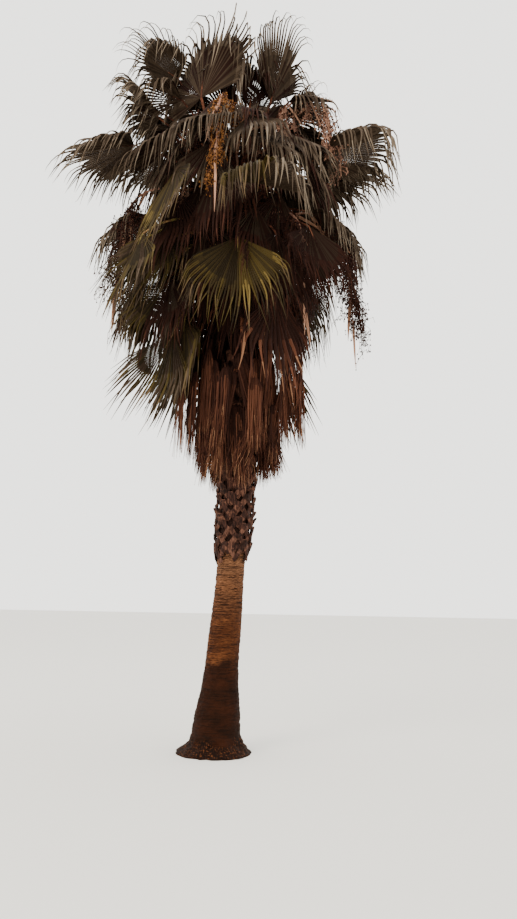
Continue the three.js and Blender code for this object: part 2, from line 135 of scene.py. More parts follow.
class Look(Enum):
    """How a frond is coloured: shades for its hub, its leaflets and their tips.

    A leaflet takes the same place in each of the three rows, from painted shadow to painted light, so
    that neighbouring leaflets read as shaded and lit strands. In most looks the hub's row is darker,
    as painted shade.
    """

    SHADED = (
        (Shade.CORE_SHADOW, Shade.UNDER_DARK, Shade.UNDER),
        (Shade.UNDER_DARK, Shade.UNDER, Shade.GREY),
        (Shade.UNDER, Shade.GREY, Shade.GREY_TIP),
    )
    GREY = (
        (Shade.UNDER_DARK, Shade.UNDER, Shade.UNDER),
        (Shade.UNDER, Shade.GREY, Shade.GREY),
        (Shade.GREY, Shade.GREY_TIP, Shade.GREY_TIP),
    )
    OLIVE = (
        (Shade.OLIVE_DARK, Shade.UNDER_DARK, Shade.OLIVE),
        (Shade.OLIVE, Shade.UNDER, Shade.OLIVE_LIT),
        (Shade.UNDER, Shade.GREY, Shade.TAN),
    )
    # The shaded half of a fan that faces away from the light: olive with painted shade.
    GREEN = (
        (Shade.OLIVE_DARK, Shade.OLIVE_DARK, Shade.OLIVE),
        (Shade.OLIVE_DARK, Shade.OLIVE, Shade.OLIVE_LIT),
        (Shade.OLIVE, Shade.OLIVE_LIT, Shade.TAN),
    )
    # Painted light: yellow-green leaflets of a fan half that faces the light.
    YELLOW_LIT = (
        (Shade.OLIVE_DARK, Shade.OLIVE, Shade.OLIVE_LIT),
        (Shade.OLIVE, Shade.OLIVE_LIT, Shade.YELLOW_LIT),
        (Shade.OLIVE_LIT, Shade.TAN, Shade.YELLOW_LIT),
    )
    # Painted light: the half of a fan that faces the light, olive and yellow.
    LIT = (
        (Shade.OLIVE, Shade.OLIVE_LIT, Shade.OLIVE_LIT),
        (Shade.OLIVE, Shade.OLIVE_LIT, Shade.YELLOW_LIT),
        (Shade.OLIVE_DARK, Shade.OLIVE, Shade.TAN),
    )
    SHADOWED = (
        (Shade.CORE_SHADOW, Shade.CORE_SHADOW, Shade.UNDER_DARK),
        (Shade.RUST_DARK, Shade.UNDER_DARK, Shade.UNDER),
        (Shade.RUST_DARK, Shade.UNDER, Shade.GREY),
    )
    # Painted deep shade, for fronds and old fans deep inside the crown.
    DEEP = (
        (Shade.CORE_SHADOW, Shade.CORE_SHADOW, Shade.UNDER_DARK),
        (Shade.CORE_SHADOW, Shade.RUST_DARK, Shade.RUST_DARK),
        (Shade.CORE_SHADOW, Shade.RUST_DARK, Shade.RUST),
    )
    RUSTY = (
        (Shade.CORE_SHADOW, Shade.RUST_DARK, Shade.RUST_DARK),
        (Shade.RUST_DARK, Shade.RUST, Shade.RUST),
        (Shade.RUST_DARK, Shade.RUST, Shade.RUST_LIT),
    )
    STRAWY = (
        (Shade.RUST_DARK, Shade.RUST, Shade.RUST),
        (Shade.RUST, Shade.RUST_LIT, Shade.RUST_LIT),
        (Shade.RUST, Shade.RUST_LIT, Shade.STRAW),
    )
    SKIRT = (
        (Shade.CORE_SHADOW, Shade.CORE_SHADOW, Shade.RUST_DARK, Shade.RUST_DARK),
        (Shade.CORE_SHADOW, Shade.RUST_DARK, Shade.RUST, Shade.RUST_LIT),
        (Shade.RUST_DARK, Shade.RUST, Shade.RUST_LIT, Shade.STRAW),
    )


SHADES: list[Shade] = list(Shade)


def numbered(shades: Sequence[Shade]) -> np.ndarray:
    """Returns the shades' numbers, which are their places among all shades."""
    return np.array([SHADES.index(shade) for shade in shades])


def dealt(look: Look, count: int, rng: np.random.Generator) -> np.ndarray:
    """Returns each leaflet's shade numbers for hub, blade and tip, (3, count)."""
    rows = np.array([numbered(row) for row in look.value])
    return rows[:, rng.integers(0, rows.shape[1], count)]


def linear(colour: Sequence[float]) -> tuple[float, float, float, float]:
    """Turns a paint-chart colour into the linear one that shaders take.

    Args:
        colour: Red, green and blue, from 0 to 1.

    Returns:
        The linear colour with full alpha. Each part is ((c + 0.055) / 1.055) to the
        power 2.4, or c / 12.92 where c is small.
    """
    parts = [c / 12.92 if c <= 0.04045 else ((c + 0.055) / 1.055) ** 2.4 for c in colour]
    return (parts[0], parts[1], parts[2], 1.0)


class Value:
    """A shader socket that can be used in sums."""

    def __init__(self, graph: Graph, socket: bpy.types.NodeSocket) -> None:
        """Keeps the socket with the graph that it belongs to."""
        self.graph = graph
        self.socket = socket

    def _math(self, operation: str, *values: Value | float) -> Value:
        """Adds one maths node.

        Args:
            operation: Blender's name of the operation.
            *values: What goes into it, in order.

        Returns:
            Its result.
        """
        inputs = dict(enumerate(values))
        return self.graph.node("ShaderNodeMath", {"operation": operation}, inputs)

    def __add__(self, other: Value | float) -> Value:
        """Returns this value plus another."""
        return self._math("ADD", self, other)

    def __radd__(self, other: float) -> Value:
        """Returns a number plus this value."""
        return self._math("ADD", other, self)

    def __sub__(self, other: Value | float) -> Value:
        """Returns this value less another."""
        return self._math("SUBTRACT", self, other)

    def __rsub__(self, other: float) -> Value:
        """Returns a number less this value."""
        return self._math("SUBTRACT", other, self)

    def __mul__(self, other: Value | float) -> Value:
        """Returns this value times another."""
        return self._math("MULTIPLY", self, other)

    def __rmul__(self, other: float) -> Value:
        """Returns a number times this value."""
        return self._math("MULTIPLY", other, self)

    def smooth(self, low: float, high: float) -> Value:
        """Returns a smooth step of this value.

        Args:
            low: Where the step is 0.
            high: Where it is 1.

        Returns:
            The step.
        """
        settings = {"interpolation_type": "SMOOTHSTEP"}
        inputs = {"Value": self, "From Min": low, "From Max": high}
        return self.graph.node("ShaderNodeMapRange", settings, inputs)


class Graph:
    """The nodes of one material, with a principled surface at their end."""

    def __init__(self, name: str) -> None:
        """Makes the material and its surface.

        Args:
            name: The material's name.
        """
        self.material = bpy.data.materials.new(name)
        self.material.use_nodes = True
        self.tree = self.material.node_tree
        self.tree.nodes.clear()
        self.surface = self.tree.nodes.new("ShaderNodeBsdfPrincipled")
        self.surface.inputs["Specular IOR Level"].default_value = SHEEN
        output = self.tree.nodes.new("ShaderNodeOutputMaterial")
        self.tree.links.new(self.surface.outputs[0], output.inputs[0])

    def put(self, socket: bpy.types.NodeSocket, value: object) -> None:
        """Links or sets one socket.

        Args:
            socket: The socket.
            value: A Value to link, or a plain value to set.
        """
        if isinstance(value, Value):
            self.tree.links.new(value.socket, socket)
        else:
            socket.default_value = value

    def node(
        self,
        kind: str,
        settings: dict[str, object],
        inputs: dict[str | int, object],
        output: str | int = 0,
    ) -> Value:
        """Adds one node.

        Args:
            kind: Blender's type name of the node.
            settings: Its settings, set first.
            inputs: Socket names or places with what goes into them.
            output: The name or place of the output wanted.

        Returns:
            That output.
        """
        made = self.tree.nodes.new(kind)
        for name, setting in settings.items():
            setattr(made, name, setting)
        for key, value in inputs.items():
            self.put(made.inputs[key], value)
        return Value(self, made.outputs[output])

    def scaled(self, scale: tuple[float, float, float]) -> Value:
        """Returns the object's own coordinates times a scale.

        Args:
            scale: The scale along each axis.

        Returns:
            The scaled coordinates.
        """
        own = self.node("ShaderNodeTexCoord", {}, {}, "Object")
        settings = {"operation": "MULTIPLY"}
        return self.node("ShaderNodeVectorMath", settings, {0: own, 1: scale})

    def height(self) -> Value:
        """Returns the height above the ground."""
        return self.node("ShaderNodeSeparateXYZ", {}, {0: self.scaled((1, 1, 1))}, "Z")

    def noise(self, scale: tuple[float, float, float], detail: float = 4.0) -> Value:
        """Returns a noise with that many waves a metre along each axis."""
        inputs = {"Vector": self.scaled(scale), "Scale": 1.0, "Detail": detail}
        return self.node("ShaderNodeTexNoise", {}, inputs, "Fac")

    def mix(self, share: Value | float, low: object, high: object) -> Value:
        """Mixes two colours.

        Args:
            share: How much of the second there is.
            low: The first colour, a Value or red, green and blue.
            high: The second colour.

        Returns:
            The mixed colour.
        """
        pair = [c if isinstance(c, Value) else linear(c) for c in (low, high)]
        inputs = {0: share, 6: pair[0], 7: pair[1]}
        return self.node("ShaderNodeMix", {"data_type": "RGBA"}, inputs, 2)

    def layered(self, base: Value, *layers: tuple[Value | float, Colour]) -> Value:
        """Lays colours over a base.

        Args:
            base: The colour underneath.
            *layers: Each layer's share and its colour.

        Returns:
            The last mix.
        """
        for share, colour in layers:
            base = self.mix(share, base, colour)
        return base

    def finish(
        self, colour: Value, roughness: Value | float, relief: Value, depth: float
    ) -> bpy.types.Material:
        """Joins colour, roughness and relief to the surface.

        Args:
            colour: The base colour.
            roughness: How matt the surface is.
            relief: The height of the fine relief, from 0 to 1.
            depth: How deep the relief is, in metres.

        Returns:
            The material.
        """
        inputs = {"Strength": 0.8, "Distance": depth, "Height": relief}
        bump = self.node("ShaderNodeBump", {}, inputs, "Normal")
        self.put(self.surface.inputs["Base Color"], colour)
        self.put(self.surface.inputs["Roughness"], roughness)
        self.put(self.surface.inputs["Normal"], bump)
        return self.material


@dataclass(frozen=True)
class BarkFinish:
    """Ringed bark: a fibrous foot, a dark stained part and a tan part above it.

    The skin's own attribute says where the rings' cracks are; it darkens them as the painted shadow
    under the ledges. A pair of colours is mixed in patches.

    Attributes:
        foot_top: Height of the top of the fibrous foot.
        stain_top: Height of the top of the dark stained part.
        collar: Height where the leaf bases start.
        tan: The colours of the tan part.
        pale_top: The paler colour near its top.
        groove: The fine grooves in it.
        ring: The dark lines round it.
        stain: The colours of the stained part.
        stain_ring: The dark lines round that.
        foot: The colours of the foot.
        fibre: The bare fibres of the foot.
        crack_shadow: The cracks under the rings' edges, darkened as the ledges' painted shadow.
        shadow: What shows between the leaf bases.
    """

    foot_top: float = 0.13
    stain_top: float = 0.93
    collar: float = 2.10
    tan: tuple[Colour, Colour] = ((0.270, 0.138, 0.062), (0.41, 0.236, 0.126))
    pale_top: Colour = (0.52, 0.370, 0.262)
    groove: Colour = (0.150, 0.074, 0.036)
    ring: Colour = (0.085, 0.038, 0.018)
    stain: tuple[Colour, Colour] = ((0.095, 0.038, 0.011), (0.165, 0.070, 0.022))
    stain_ring: Colour = (0.060, 0.026, 0.010)
    foot: tuple[Colour, Colour] = ((0.050, 0.018, 0.006), (0.125, 0.052, 0.020))
    fibre: Colour = (0.33, 0.190, 0.098)
    crack_shadow: Colour = (0.045, 0.020, 0.009)
    shadow: Colour = (0.125, 0.070, 0.050)

    def build(self) -> bpy.types.Material:
        """Makes the material: each zone's colour by height, with a wavy border.

        Returns:
            The material.
        """
        graph = Graph("bark")
        # The ring cracks with the painted shadow under the ledges, from the skin.
        crack_shadow = graph.node("ShaderNodeAttribute", {"attribute_name": "crack_shadow"}, {}, "Fac")
        rings = graph.noise((5, 5, 120), 5.0)
        fine = graph.noise((26, 26, 320), 3.0)
        broad = graph.noise((4.5, 4.5, 7), 5.0)
        grain = graph.noise((75, 75, 48), 3.0)
        height = graph.height()
        wavy = height + (broad - 0.5) * 0.32
        tan = graph.layered(
            graph.mix(broad.smooth(0.35, 0.65), *self.tan),
            (height.smooth(1.2, 2.1) * 0.6, self.pale_top),
            (fine.smooth(0.42, 0.66), self.groove),
            (rings.smooth(0.52, 0.62) * 0.9, self.ring),
        )
        stain = graph.mix(broad.smooth(0.3, 0.7), *self.stain)
        stain = graph.mix(rings.smooth(0.55, 0.66), stain, self.stain_ring)
        foot = graph.mix(grain.smooth(0.4, 0.6), *self.foot)
        foot = graph.mix(grain.smooth(0.58, 0.64), foot, self.fibre)
        colour = graph.mix(wavy.smooth(self.foot_top - 0.02, self.foot_top + 0.03), foot, stain)
        # Painted shadow: dark under the ring ledges, and dark above the collar where the leaf bases
        # shade the trunk.
        colour = graph.layered(
            graph.mix(wavy.smooth(self.stain_top - 0.06, self.stain_top + 0.05), colour, tan),
            (crack_shadow, self.crack_shadow),
            (height.smooth(self.collar - 0.06, self.collar + 0.02), self.shadow),
        )
        relief = rings * 0.6 + fine * 0.25 + grain * 0.15
        return graph.finish(colour, 0.78 + 0.15 * fine, relief, 0.016)


@dataclass(frozen=True)
class StreakFinish:
    """Fibres that run up and down: two colours, streaked, with darker grime.

    Attributes:
        name: The material's name.
        dark: The colour between the fibres.
        light: The colour of the fibres.
        streak: Waves a metre across and along the fibres.
        depth: How deep the relief is.
    """

    name: str
    dark: Colour
    light: Colour
    streak: tuple[float, float] = (70.0, 8.0)
    depth: float = 0.006

    def build(self) -> bpy.types.Material:
        """Makes the material: long thin streaks, and broad patches of grime.

        Returns:
            The material.
        """
        graph = Graph(self.name)
        across, along = self.streak
        fibres = graph.noise((across, across, along), 4.0)
        grime = graph.noise((9, 9, 7), 3.0)
        colour = graph.mix(fibres.smooth(0.36, 0.66), self.dark, self.light)
        shadow = tuple(c * 0.5 for c in self.dark)
        colour = graph.mix(grime.smooth(0.5, 0.72) * 0.7, colour, shadow)
        return graph.finish(colour, 0.7 + 0.2 * grime, fibres, self.depth)


def smooth(
    low: np.ndarray | float, high: np.ndarray | float, value: np.ndarray | float
) -> np.ndarray:
    """Returns the smooth step of a value.

    Args:
        low: Where the step starts.
        high: Where it ends.
        value: The value.

    Returns:
        3s² − 2s³, where s is the value's share of the way from low to high, from 0 to 1.
    """
    share = np.clip((value - low) / (high - low), 0, 1)
    return share * share * (3 - 2 * share)


def unit(vectors: np.ndarray) -> np.ndarray:
    """Returns vectors, along the last axis, at length 1."""
    return vectors / np.maximum(np.linalg.norm(vectors, axis=-1, keepdims=True), 1e-9)


def turned(vector: np.ndarray, axis: np.ndarray, angle: np.ndarray | float) -> np.ndarray:
    """Turns vectors about unit axes.

    Args:
        vector: The vectors, along the last axis.
        axis: The axes.
        angle: The angles, with a last axis of 1 or none.

    Returns:
        v cos a + (axis × v) sin a + axis (axis · v)(1 − cos a).
    """
    along = np.sum(axis * vector, axis=-1, keepdims=True)
    cosine = np.cos(angle)
    return vector * cosine + np.cross(axis, vector) * np.sin(angle) + axis * along * (1 - cosine)


def compass(turn: np.ndarray | float) -> tuple[np.ndarray, np.ndarray]:
    """Returns level unit vectors at angles round the trunk.

    Args:
        turn: The angles.

    Returns:
        The vectors outwards, (cos a, sin a, 0), and those sideways, (−sin a, cos a, 0).
    """
    flat = np.zeros_like(turn, dtype=float)
    out = np.stack([np.cos(turn), np.sin(turn), flat], axis=-1)
    side = np.stack([-np.sin(turn), np.cos(turn), flat], axis=-1)
    return out, side


def walked(start: np.ndarray, heading: np.ndarray, step: np.ndarray) -> np.ndarray:
    """Returns lines that leave their starts and follow their headings, step by step.

    Args:
        start: Where they start, (lines, 3).
        heading: Their headings, (points, lines, 3).
        step: How long the steps of each are.

    Returns:
        The points: each is the start plus the sum of the headings before it times the step.
    """
    moved = np.cumsum(heading[:-1], axis=0) * step[:, None]
    return np.concatenate([np.zeros_like(moved[:1]), moved]) + start


def taper(share: np.ndarray, ends: Range) -> np.ndarray:
    """Returns the straight run from the first end, at share 0, to the last, at share 1."""
    return ends[0] + (ends[1] - ends[0]) * share


def vary(index: float, salt: float) -> float:
    """Returns a number from −1 to 1, the same each time, by the frame's own rule."""
    wave = math.sin(index * 12.9898 + salt * 78.233) * 43758.5453
    return 2 * (wave - math.floor(wave)) - 1


@dataclass(frozen=True)
class Lumps:
    """A smooth noise on the trunk's skin, which meets itself all the way round.

    Attributes:
        size: How strong it is.
        around: How many cells there are round the trunk.
        rise: How many cells there are in a metre of height.
        seed: Which noise.
    """

    size: float
    around: int
    rise: float
    seed: int

    def at(self, turn: np.ndarray, height: np.ndarray) -> np.ndarray:
        """Returns the noise at places on the skin.

        Args:
            turn: Their shares of a turn round the trunk.
            height: Their heights.

        Returns:
            Each cell's corners have a random value from −1 to 1. A point takes the
            smooth-step mix of its four corners, times the size.
        """
        stored = 512
        table = np.random.default_rng(self.seed).uniform(-1, 1, (self.around, stored))
        u, v = turn * self.around, height * self.rise
        left, low = np.floor(u).astype(int), np.floor(v).astype(int)
        across, along = smooth(0, 1, u - left), smooth(0, 1, v - low)
        rows = []
        for level in (low % stored, (low + 1) % stored):
            first = table[left % self.around, level]
            rows.append(first + (table[(left + 1) % self.around, level] - first) * across)
        return self.size * (rows[0] * (1 - along) + rows[1] * along)


def belts(number: np.ndarray) -> np.ndarray:
    """Returns the faces between rings of numbered points, each ring closed on itself."""
    ahead = np.roll(number, -1, axis=1)
    return np.stack([number[:-1], ahead[:-1], ahead[1:], number[1:]], axis=-1).reshape(-1, 4)


def placed(name: str, data: bpy.types.ID) -> bpy.types.Object:
    """Makes an object and links it to the scene.

    Args:
        name: Its name.
        data: Its mesh, light or camera.

    Returns:
        The object.
    """
    thing = bpy.data.objects.new(name, data)
    bpy.context.scene.collection.objects.link(thing)
    return thing


@dataclass
class Bunch:
    """Closed strips gathered into one mesh.

    Attributes:
        name: The piece's name.
        vertices: Arrays of points.
        quads: Arrays of four-cornered faces.
        shades: For each array of faces, which shade each face has.
        count: How many points there are so far.
    """

    name: str
    vertices: list[np.ndarray] = field(default_factory=list)
    quads: list[np.ndarray] = field(default_factory=list)
    shades: list[np.ndarray] = field(default_factory=list)
    count: int = 0

    def add(self, rings: np.ndarray, shades: np.ndarray) -> None:
        """Adds strips of rings of four points, closed at both ends.

        Args:
            rings: Points as (rings, 4, strips, 3), each ring anticlockwise when the
                strip comes towards the eye.
            shades: The shade numbers of each stretch of each strip, (rings − 1, strips).
        """
        count, corners, strips, _ = rings.shape
        number = np.arange(count * corners * strips).reshape(count, corners, strips) + self.count
        self.quads.extend([belts(number), number[0, ::-1].T, number[-1].T])
        self.shades.append(np.repeat(shades[:, None, :], corners, axis=1).reshape(-1))
        self.shades.extend([shades[0], shades[-1]])
        self.vertices.append(rings.reshape(-1, 3))
        self.count += rings.size // 3

    def solids(self, corners: np.ndarray, faces: np.ndarray, shades: np.ndarray) -> None:
        """Adds many small solids of one kind.

        Args:
            corners: Points as (solids, corners, 3).
            faces: The four-cornered faces of one solid.
            shades: One shade number for each solid.
        """
        solids, each, _ = corners.shape
        first = self.count + each * np.arange(solids)[:, None, None]
        self.quads.append((faces[None] + first).reshape(-1, 4))
        self.shades.append(np.repeat(shades, len(faces)))
        self.vertices.append(corners.reshape(-1, 3))
        self.count += solids * each

    def build(self, materials: Sequence[bpy.types.Material]) -> bpy.types.Object:
        """Makes the object, with flat faces.

        Args:
            materials: The materials that the shade numbers stand for.

        Returns:
            The object, linked to the scene. Shade numbers that aren't used get no slot.
        """
        vertices = np.concatenate(self.vertices)
        quads = np.concatenate(self.quads)
        shades = np.concatenate(self.shades).astype(int)
        used, slots = np.unique(shades, return_inverse=True)
        mesh = bpy.data.meshes.new(self.name)
        mesh.vertices.add(len(vertices))
        mesh.vertices.foreach_set("co", vertices.astype(np.float32).ravel())
        mesh.loops.add(quads.size)
        mesh.loops.foreach_set("vertex_index", quads.astype(np.int32).ravel())
        mesh.polygons.add(len(quads))
        mesh.polygons.foreach_set("loop_start", np.arange(0, quads.size, 4, dtype=np.int32))
        mesh.polygons.foreach_set("material_index", slots.astype(np.int32))
        mesh.polygons.foreach_set("use_smooth", np.zeros(len(quads), dtype=bool))
        mesh.update(calc_edges=True)
        for shade in used:
            mesh.materials.append(materials[shade])
        return placed(self.name, mesh)


def folded(
    points: np.ndarray,
    across: np.ndarray,
    normal: np.ndarray,
    half: np.ndarray,
    fold: np.ndarray | float,
    thick: float,
) -> np.ndarray:
    """Returns the rings of leaflets that are folded along their ribs.

    Args:
        points: Middle lines, (rings, strips, 3).
        across: Unit vectors across them.
        normal: Unit vectors out of their upper faces.
        half: Half widths, (rings, strips).
        fold: How far the rib stands above the edges, as a share of the half width.
        thick: The thickness along the rib.

    Returns:
        Rings of left edge, rib underneath, right edge and rib on top.
    """
    half = half[..., None]
    rise = half * fold / 2
    left = points - across * half - normal * rise
    right = points + across * half - normal * rise
    top = points + normal * (rise + thick / 2)
    low = points + normal * (rise - thick / 2)
    return np.stack([left, low, right, top], axis=1)


def boxed(
    points: np.ndarray,
    across: np.ndarray,
    normal: np.ndarray,
    half: np.ndarray,
    deep: np.ndarray,
) -> np.ndarray:
    """Returns the rings of straps with a diamond or flat four-sided section.

    Args:
        points: Middle lines, (rings, strips, 3).
        across: Unit vectors across them.
        normal: Unit vectors out of them.
        half: Half widths, (rings, strips).
        deep: Half depths, (rings, strips).

    Returns:
        Rings of left, low, right and top points.
    """
    wide = across * half[..., None]
    tall = normal * deep[..., None]
    return np.stack([points - wide, points - tall, points + wide, points + tall], axis=1)


@dataclass(frozen=True)
class TrunkLine:
    """The trunk's middle line and its radius at each height, as in the frame.

    Attributes:
        bow: How far it leans over, in metres.
        bow_height: Where it has leaned over that far.
        heights: The heights at which the radius is named, in millimetres.
        radii: The radius at each, in millimetres.
    """

    bow: float = 0.2
    bow_height: float = 4.2
    heights: tuple[float, ...] = (
        0, 45, 105, 200, 420, 625, 880, 1140, 1570,
        1950, 2250, 3000, 4300, 5300, 6000, 6400, 6650, 6850,
    )
    radii: tuple[float, ...] = (
        400, 345, 280, 257, 238, 204, 181, 176, 164,
        155, 172, 174, 168, 185, 215, 200, 140, 50,
    )

    def centre(self, height: np.ndarray | float) -> np.ndarray:
        """Returns points on the middle line.

        Args:
            height: Their heights.

        Returns:
            The points: x is bow · sin(a quarter turn · z / bow height), and y is 0.
        """
        height = np.asarray(height, dtype=float)
        swing = self.bow * np.sin(math.pi / 2 * height / self.bow_height)
        return np.stack([swing, np.zeros_like(height), height], axis=-1)

    def radius(self, height: np.ndarray | float) -> np.ndarray:
        """Returns the radius, in straight stretches between the named heights."""
        return np.interp(height, np.array(self.heights) * MM, np.array(self.radii) * MM)

    def outside(self, height: np.ndarray, out: np.ndarray, proud: np.ndarray) -> np.ndarray:
        """Returns points that stand proud of the trunk at heights, along outward vectors."""
        return self.centre(height) + out * (self.radius(height) + proud)[..., None]


TRUNK = TrunkLine()


@dataclass(frozen=True)
class TrunkSkin:
    """The trunk's skin, with its ring cracks in relief.

    Attributes:
        around: How many columns of points there are.
        zones: Each zone's lowest and highest height and its number of rows. They are
            close together where the skin is seen.
        sunk: How far the skin lies under the frame's, where nothing stands out of it.
        cut: Under this height the skin is no wider than the frame's foot.
        rings: How many rings there are from the ground up, with some to spare.
        ring: The mean height of a ring.
        ring_sizes: How much smaller and larger than that a ring may be.
        ledge: How far a ring's lower edge stands out.
        foot: Between which heights the rings take over from the fibrous foot.
        wavers: What makes the rings' edges wavy.
        breaks: What breaks the ledges up.
        chips: The chips between them.
        lumps: The broad lumps of the whole trunk.
        fibres: The fibres of the foot, and its mounds.
        seed: Which rings.
    """

    around: int = 120
    zones: tuple[tuple[float, float, int], ...] = (
        (0.0, 0.16, 36),
        (0.16, 2.2, 320),
        (2.2, 4.2, 36),
        (4.2, 6.85, 24),
    )
    sunk: float = 0.004
    cut: float = 0.004
    rings: int = 320
    ring: float = 0.024
    ring_sizes: Range = (0.45, 1.6)
    ledge: float = 0.0100
    foot: Range = (0.09, 0.2)
    wavers: tuple[Lumps, Lumps] = (Lumps(0.012, 7, 5, 1), Lumps(0.005, 23, 14, 2))
    breaks: Lumps = Lumps(0.45, 16, 22, 3)
    chips: Lumps = Lumps(0.005, 60, 60, 4)
    lumps: Lumps = Lumps(0.006, 9, 4, 5)
    fibres: tuple[Lumps, Lumps] = (Lumps(0.016, 44, 34, 6), Lumps(0.02, 11, 9, 7))
    seed: int = 11

    def levels(self) -> np.ndarray:
        """Works out the heights of the rows, zone by zone.

        Returns:
            The heights, from the ground up.
        """
        last = len(self.zones) - 1
        spans = [
            np.linspace(low, high, rows, endpoint=number == last)
            for number, (low, high, rows) in enumerate(self.zones)
        ]
        return np.concatenate(spans)

    def relief(self, turn: np.ndarray, height: np.ndarray) -> tuple[np.ndarray, np.ndarray]:
        """Returns how far the skin stands out of the plain trunk, and where cracks and the ledges'
        painted shadow darken it.

        Args:
            turn: Shares of a turn round the trunk.
            height: Heights.

        Returns:
            With t the share of a ring's height from its upper edge, it stands out by
            t² + 1.6 t (1 − t) and ends in a ledge, which a noise breaks up. The foot is
            lumpy. The cracks lie just under the ledges, in the upper third of the next
            ring, and darken the bark there as the ledges' painted shadow.
        """
        rng = np.random.default_rng(self.seed)
        edges = np.cumsum(rng.uniform(*self.ring_sizes, self.rings) * self.ring)
        wavy = height + sum(waver.at(turn, height) for waver in self.wavers)
        ring = np.clip(np.searchsorted(edges, wavy), 1, len(edges) - 1)
        share = (edges[ring] - wavy) / (edges[ring] - edges[ring - 1])
        strength = rng.uniform(0.25, 1.0, len(edges))[ring]
        strength = strength * (0.55 + self.breaks.at(turn, wavy))
        ledge = self.ledge * strength * (share**2 + 1.6 * share * (1 - share))
        foot = 1 - smooth(*self.foot, height)
        proud = (ledge + self.chips.at(turn, height)) * (1 - foot) + self.lumps.at(turn, height)
        proud = proud + sum(fibre.at(turn, height) for fibre in self.fibres) * foot
        # Painted shadow of each ledge, laid on the ring cracks just under it.
        crack_shadow = (1 - smooth(0.05, 0.38, share)) * np.clip(1.3 * strength, 0, 1) * (1 - foot)
        return proud, crack_shadow

    def build(self, material: bpy.types.Material) -> bpy.types.Object:
        """Makes the skin: rows of points round the trunk, closed by a flat cut and a tip.

        Args:
            material: The bark.

        Returns:
            The object, linked to the scene.
        """
        levels = self.levels()
        turn, height = np.meshgrid(np.arange(self.around) / self.around, levels)
        proud, crack_shadow = self.relief(turn, height)
        widest = TRUNK.radius(0.0) - TRUNK.radius(height) + self.sunk
        proud = np.where(height < self.cut, np.minimum(proud, widest), proud)
        points = TRUNK.outside(height, compass(turn * TAU)[0], proud - self.sunk)
        number = np.arange(height.size).reshape(height.shape)
        ends = [number[0][::-1].tolist(), number[-1].tolist()]
        faces = belts(number).tolist() + ends
        mesh = bpy.data.meshes.new("trunk_bark")
        mesh.from_pydata(points.reshape(-1, 3).tolist(), [], faces)
        mesh.polygons.foreach_set("use_smooth", [True] * (len(faces) - 2) + [False] * 2)
        # The bark reads the cracks and the ledges' painted shadow from this attribute.
        shown = mesh.attributes.new("crack_shadow", "FLOAT", "POINT")
        shown.data.foreach_set("value", crack_shadow.astype(np.float32).ravel())
        mesh.materials.append(material)
        return placed("trunk_bark", mesh)


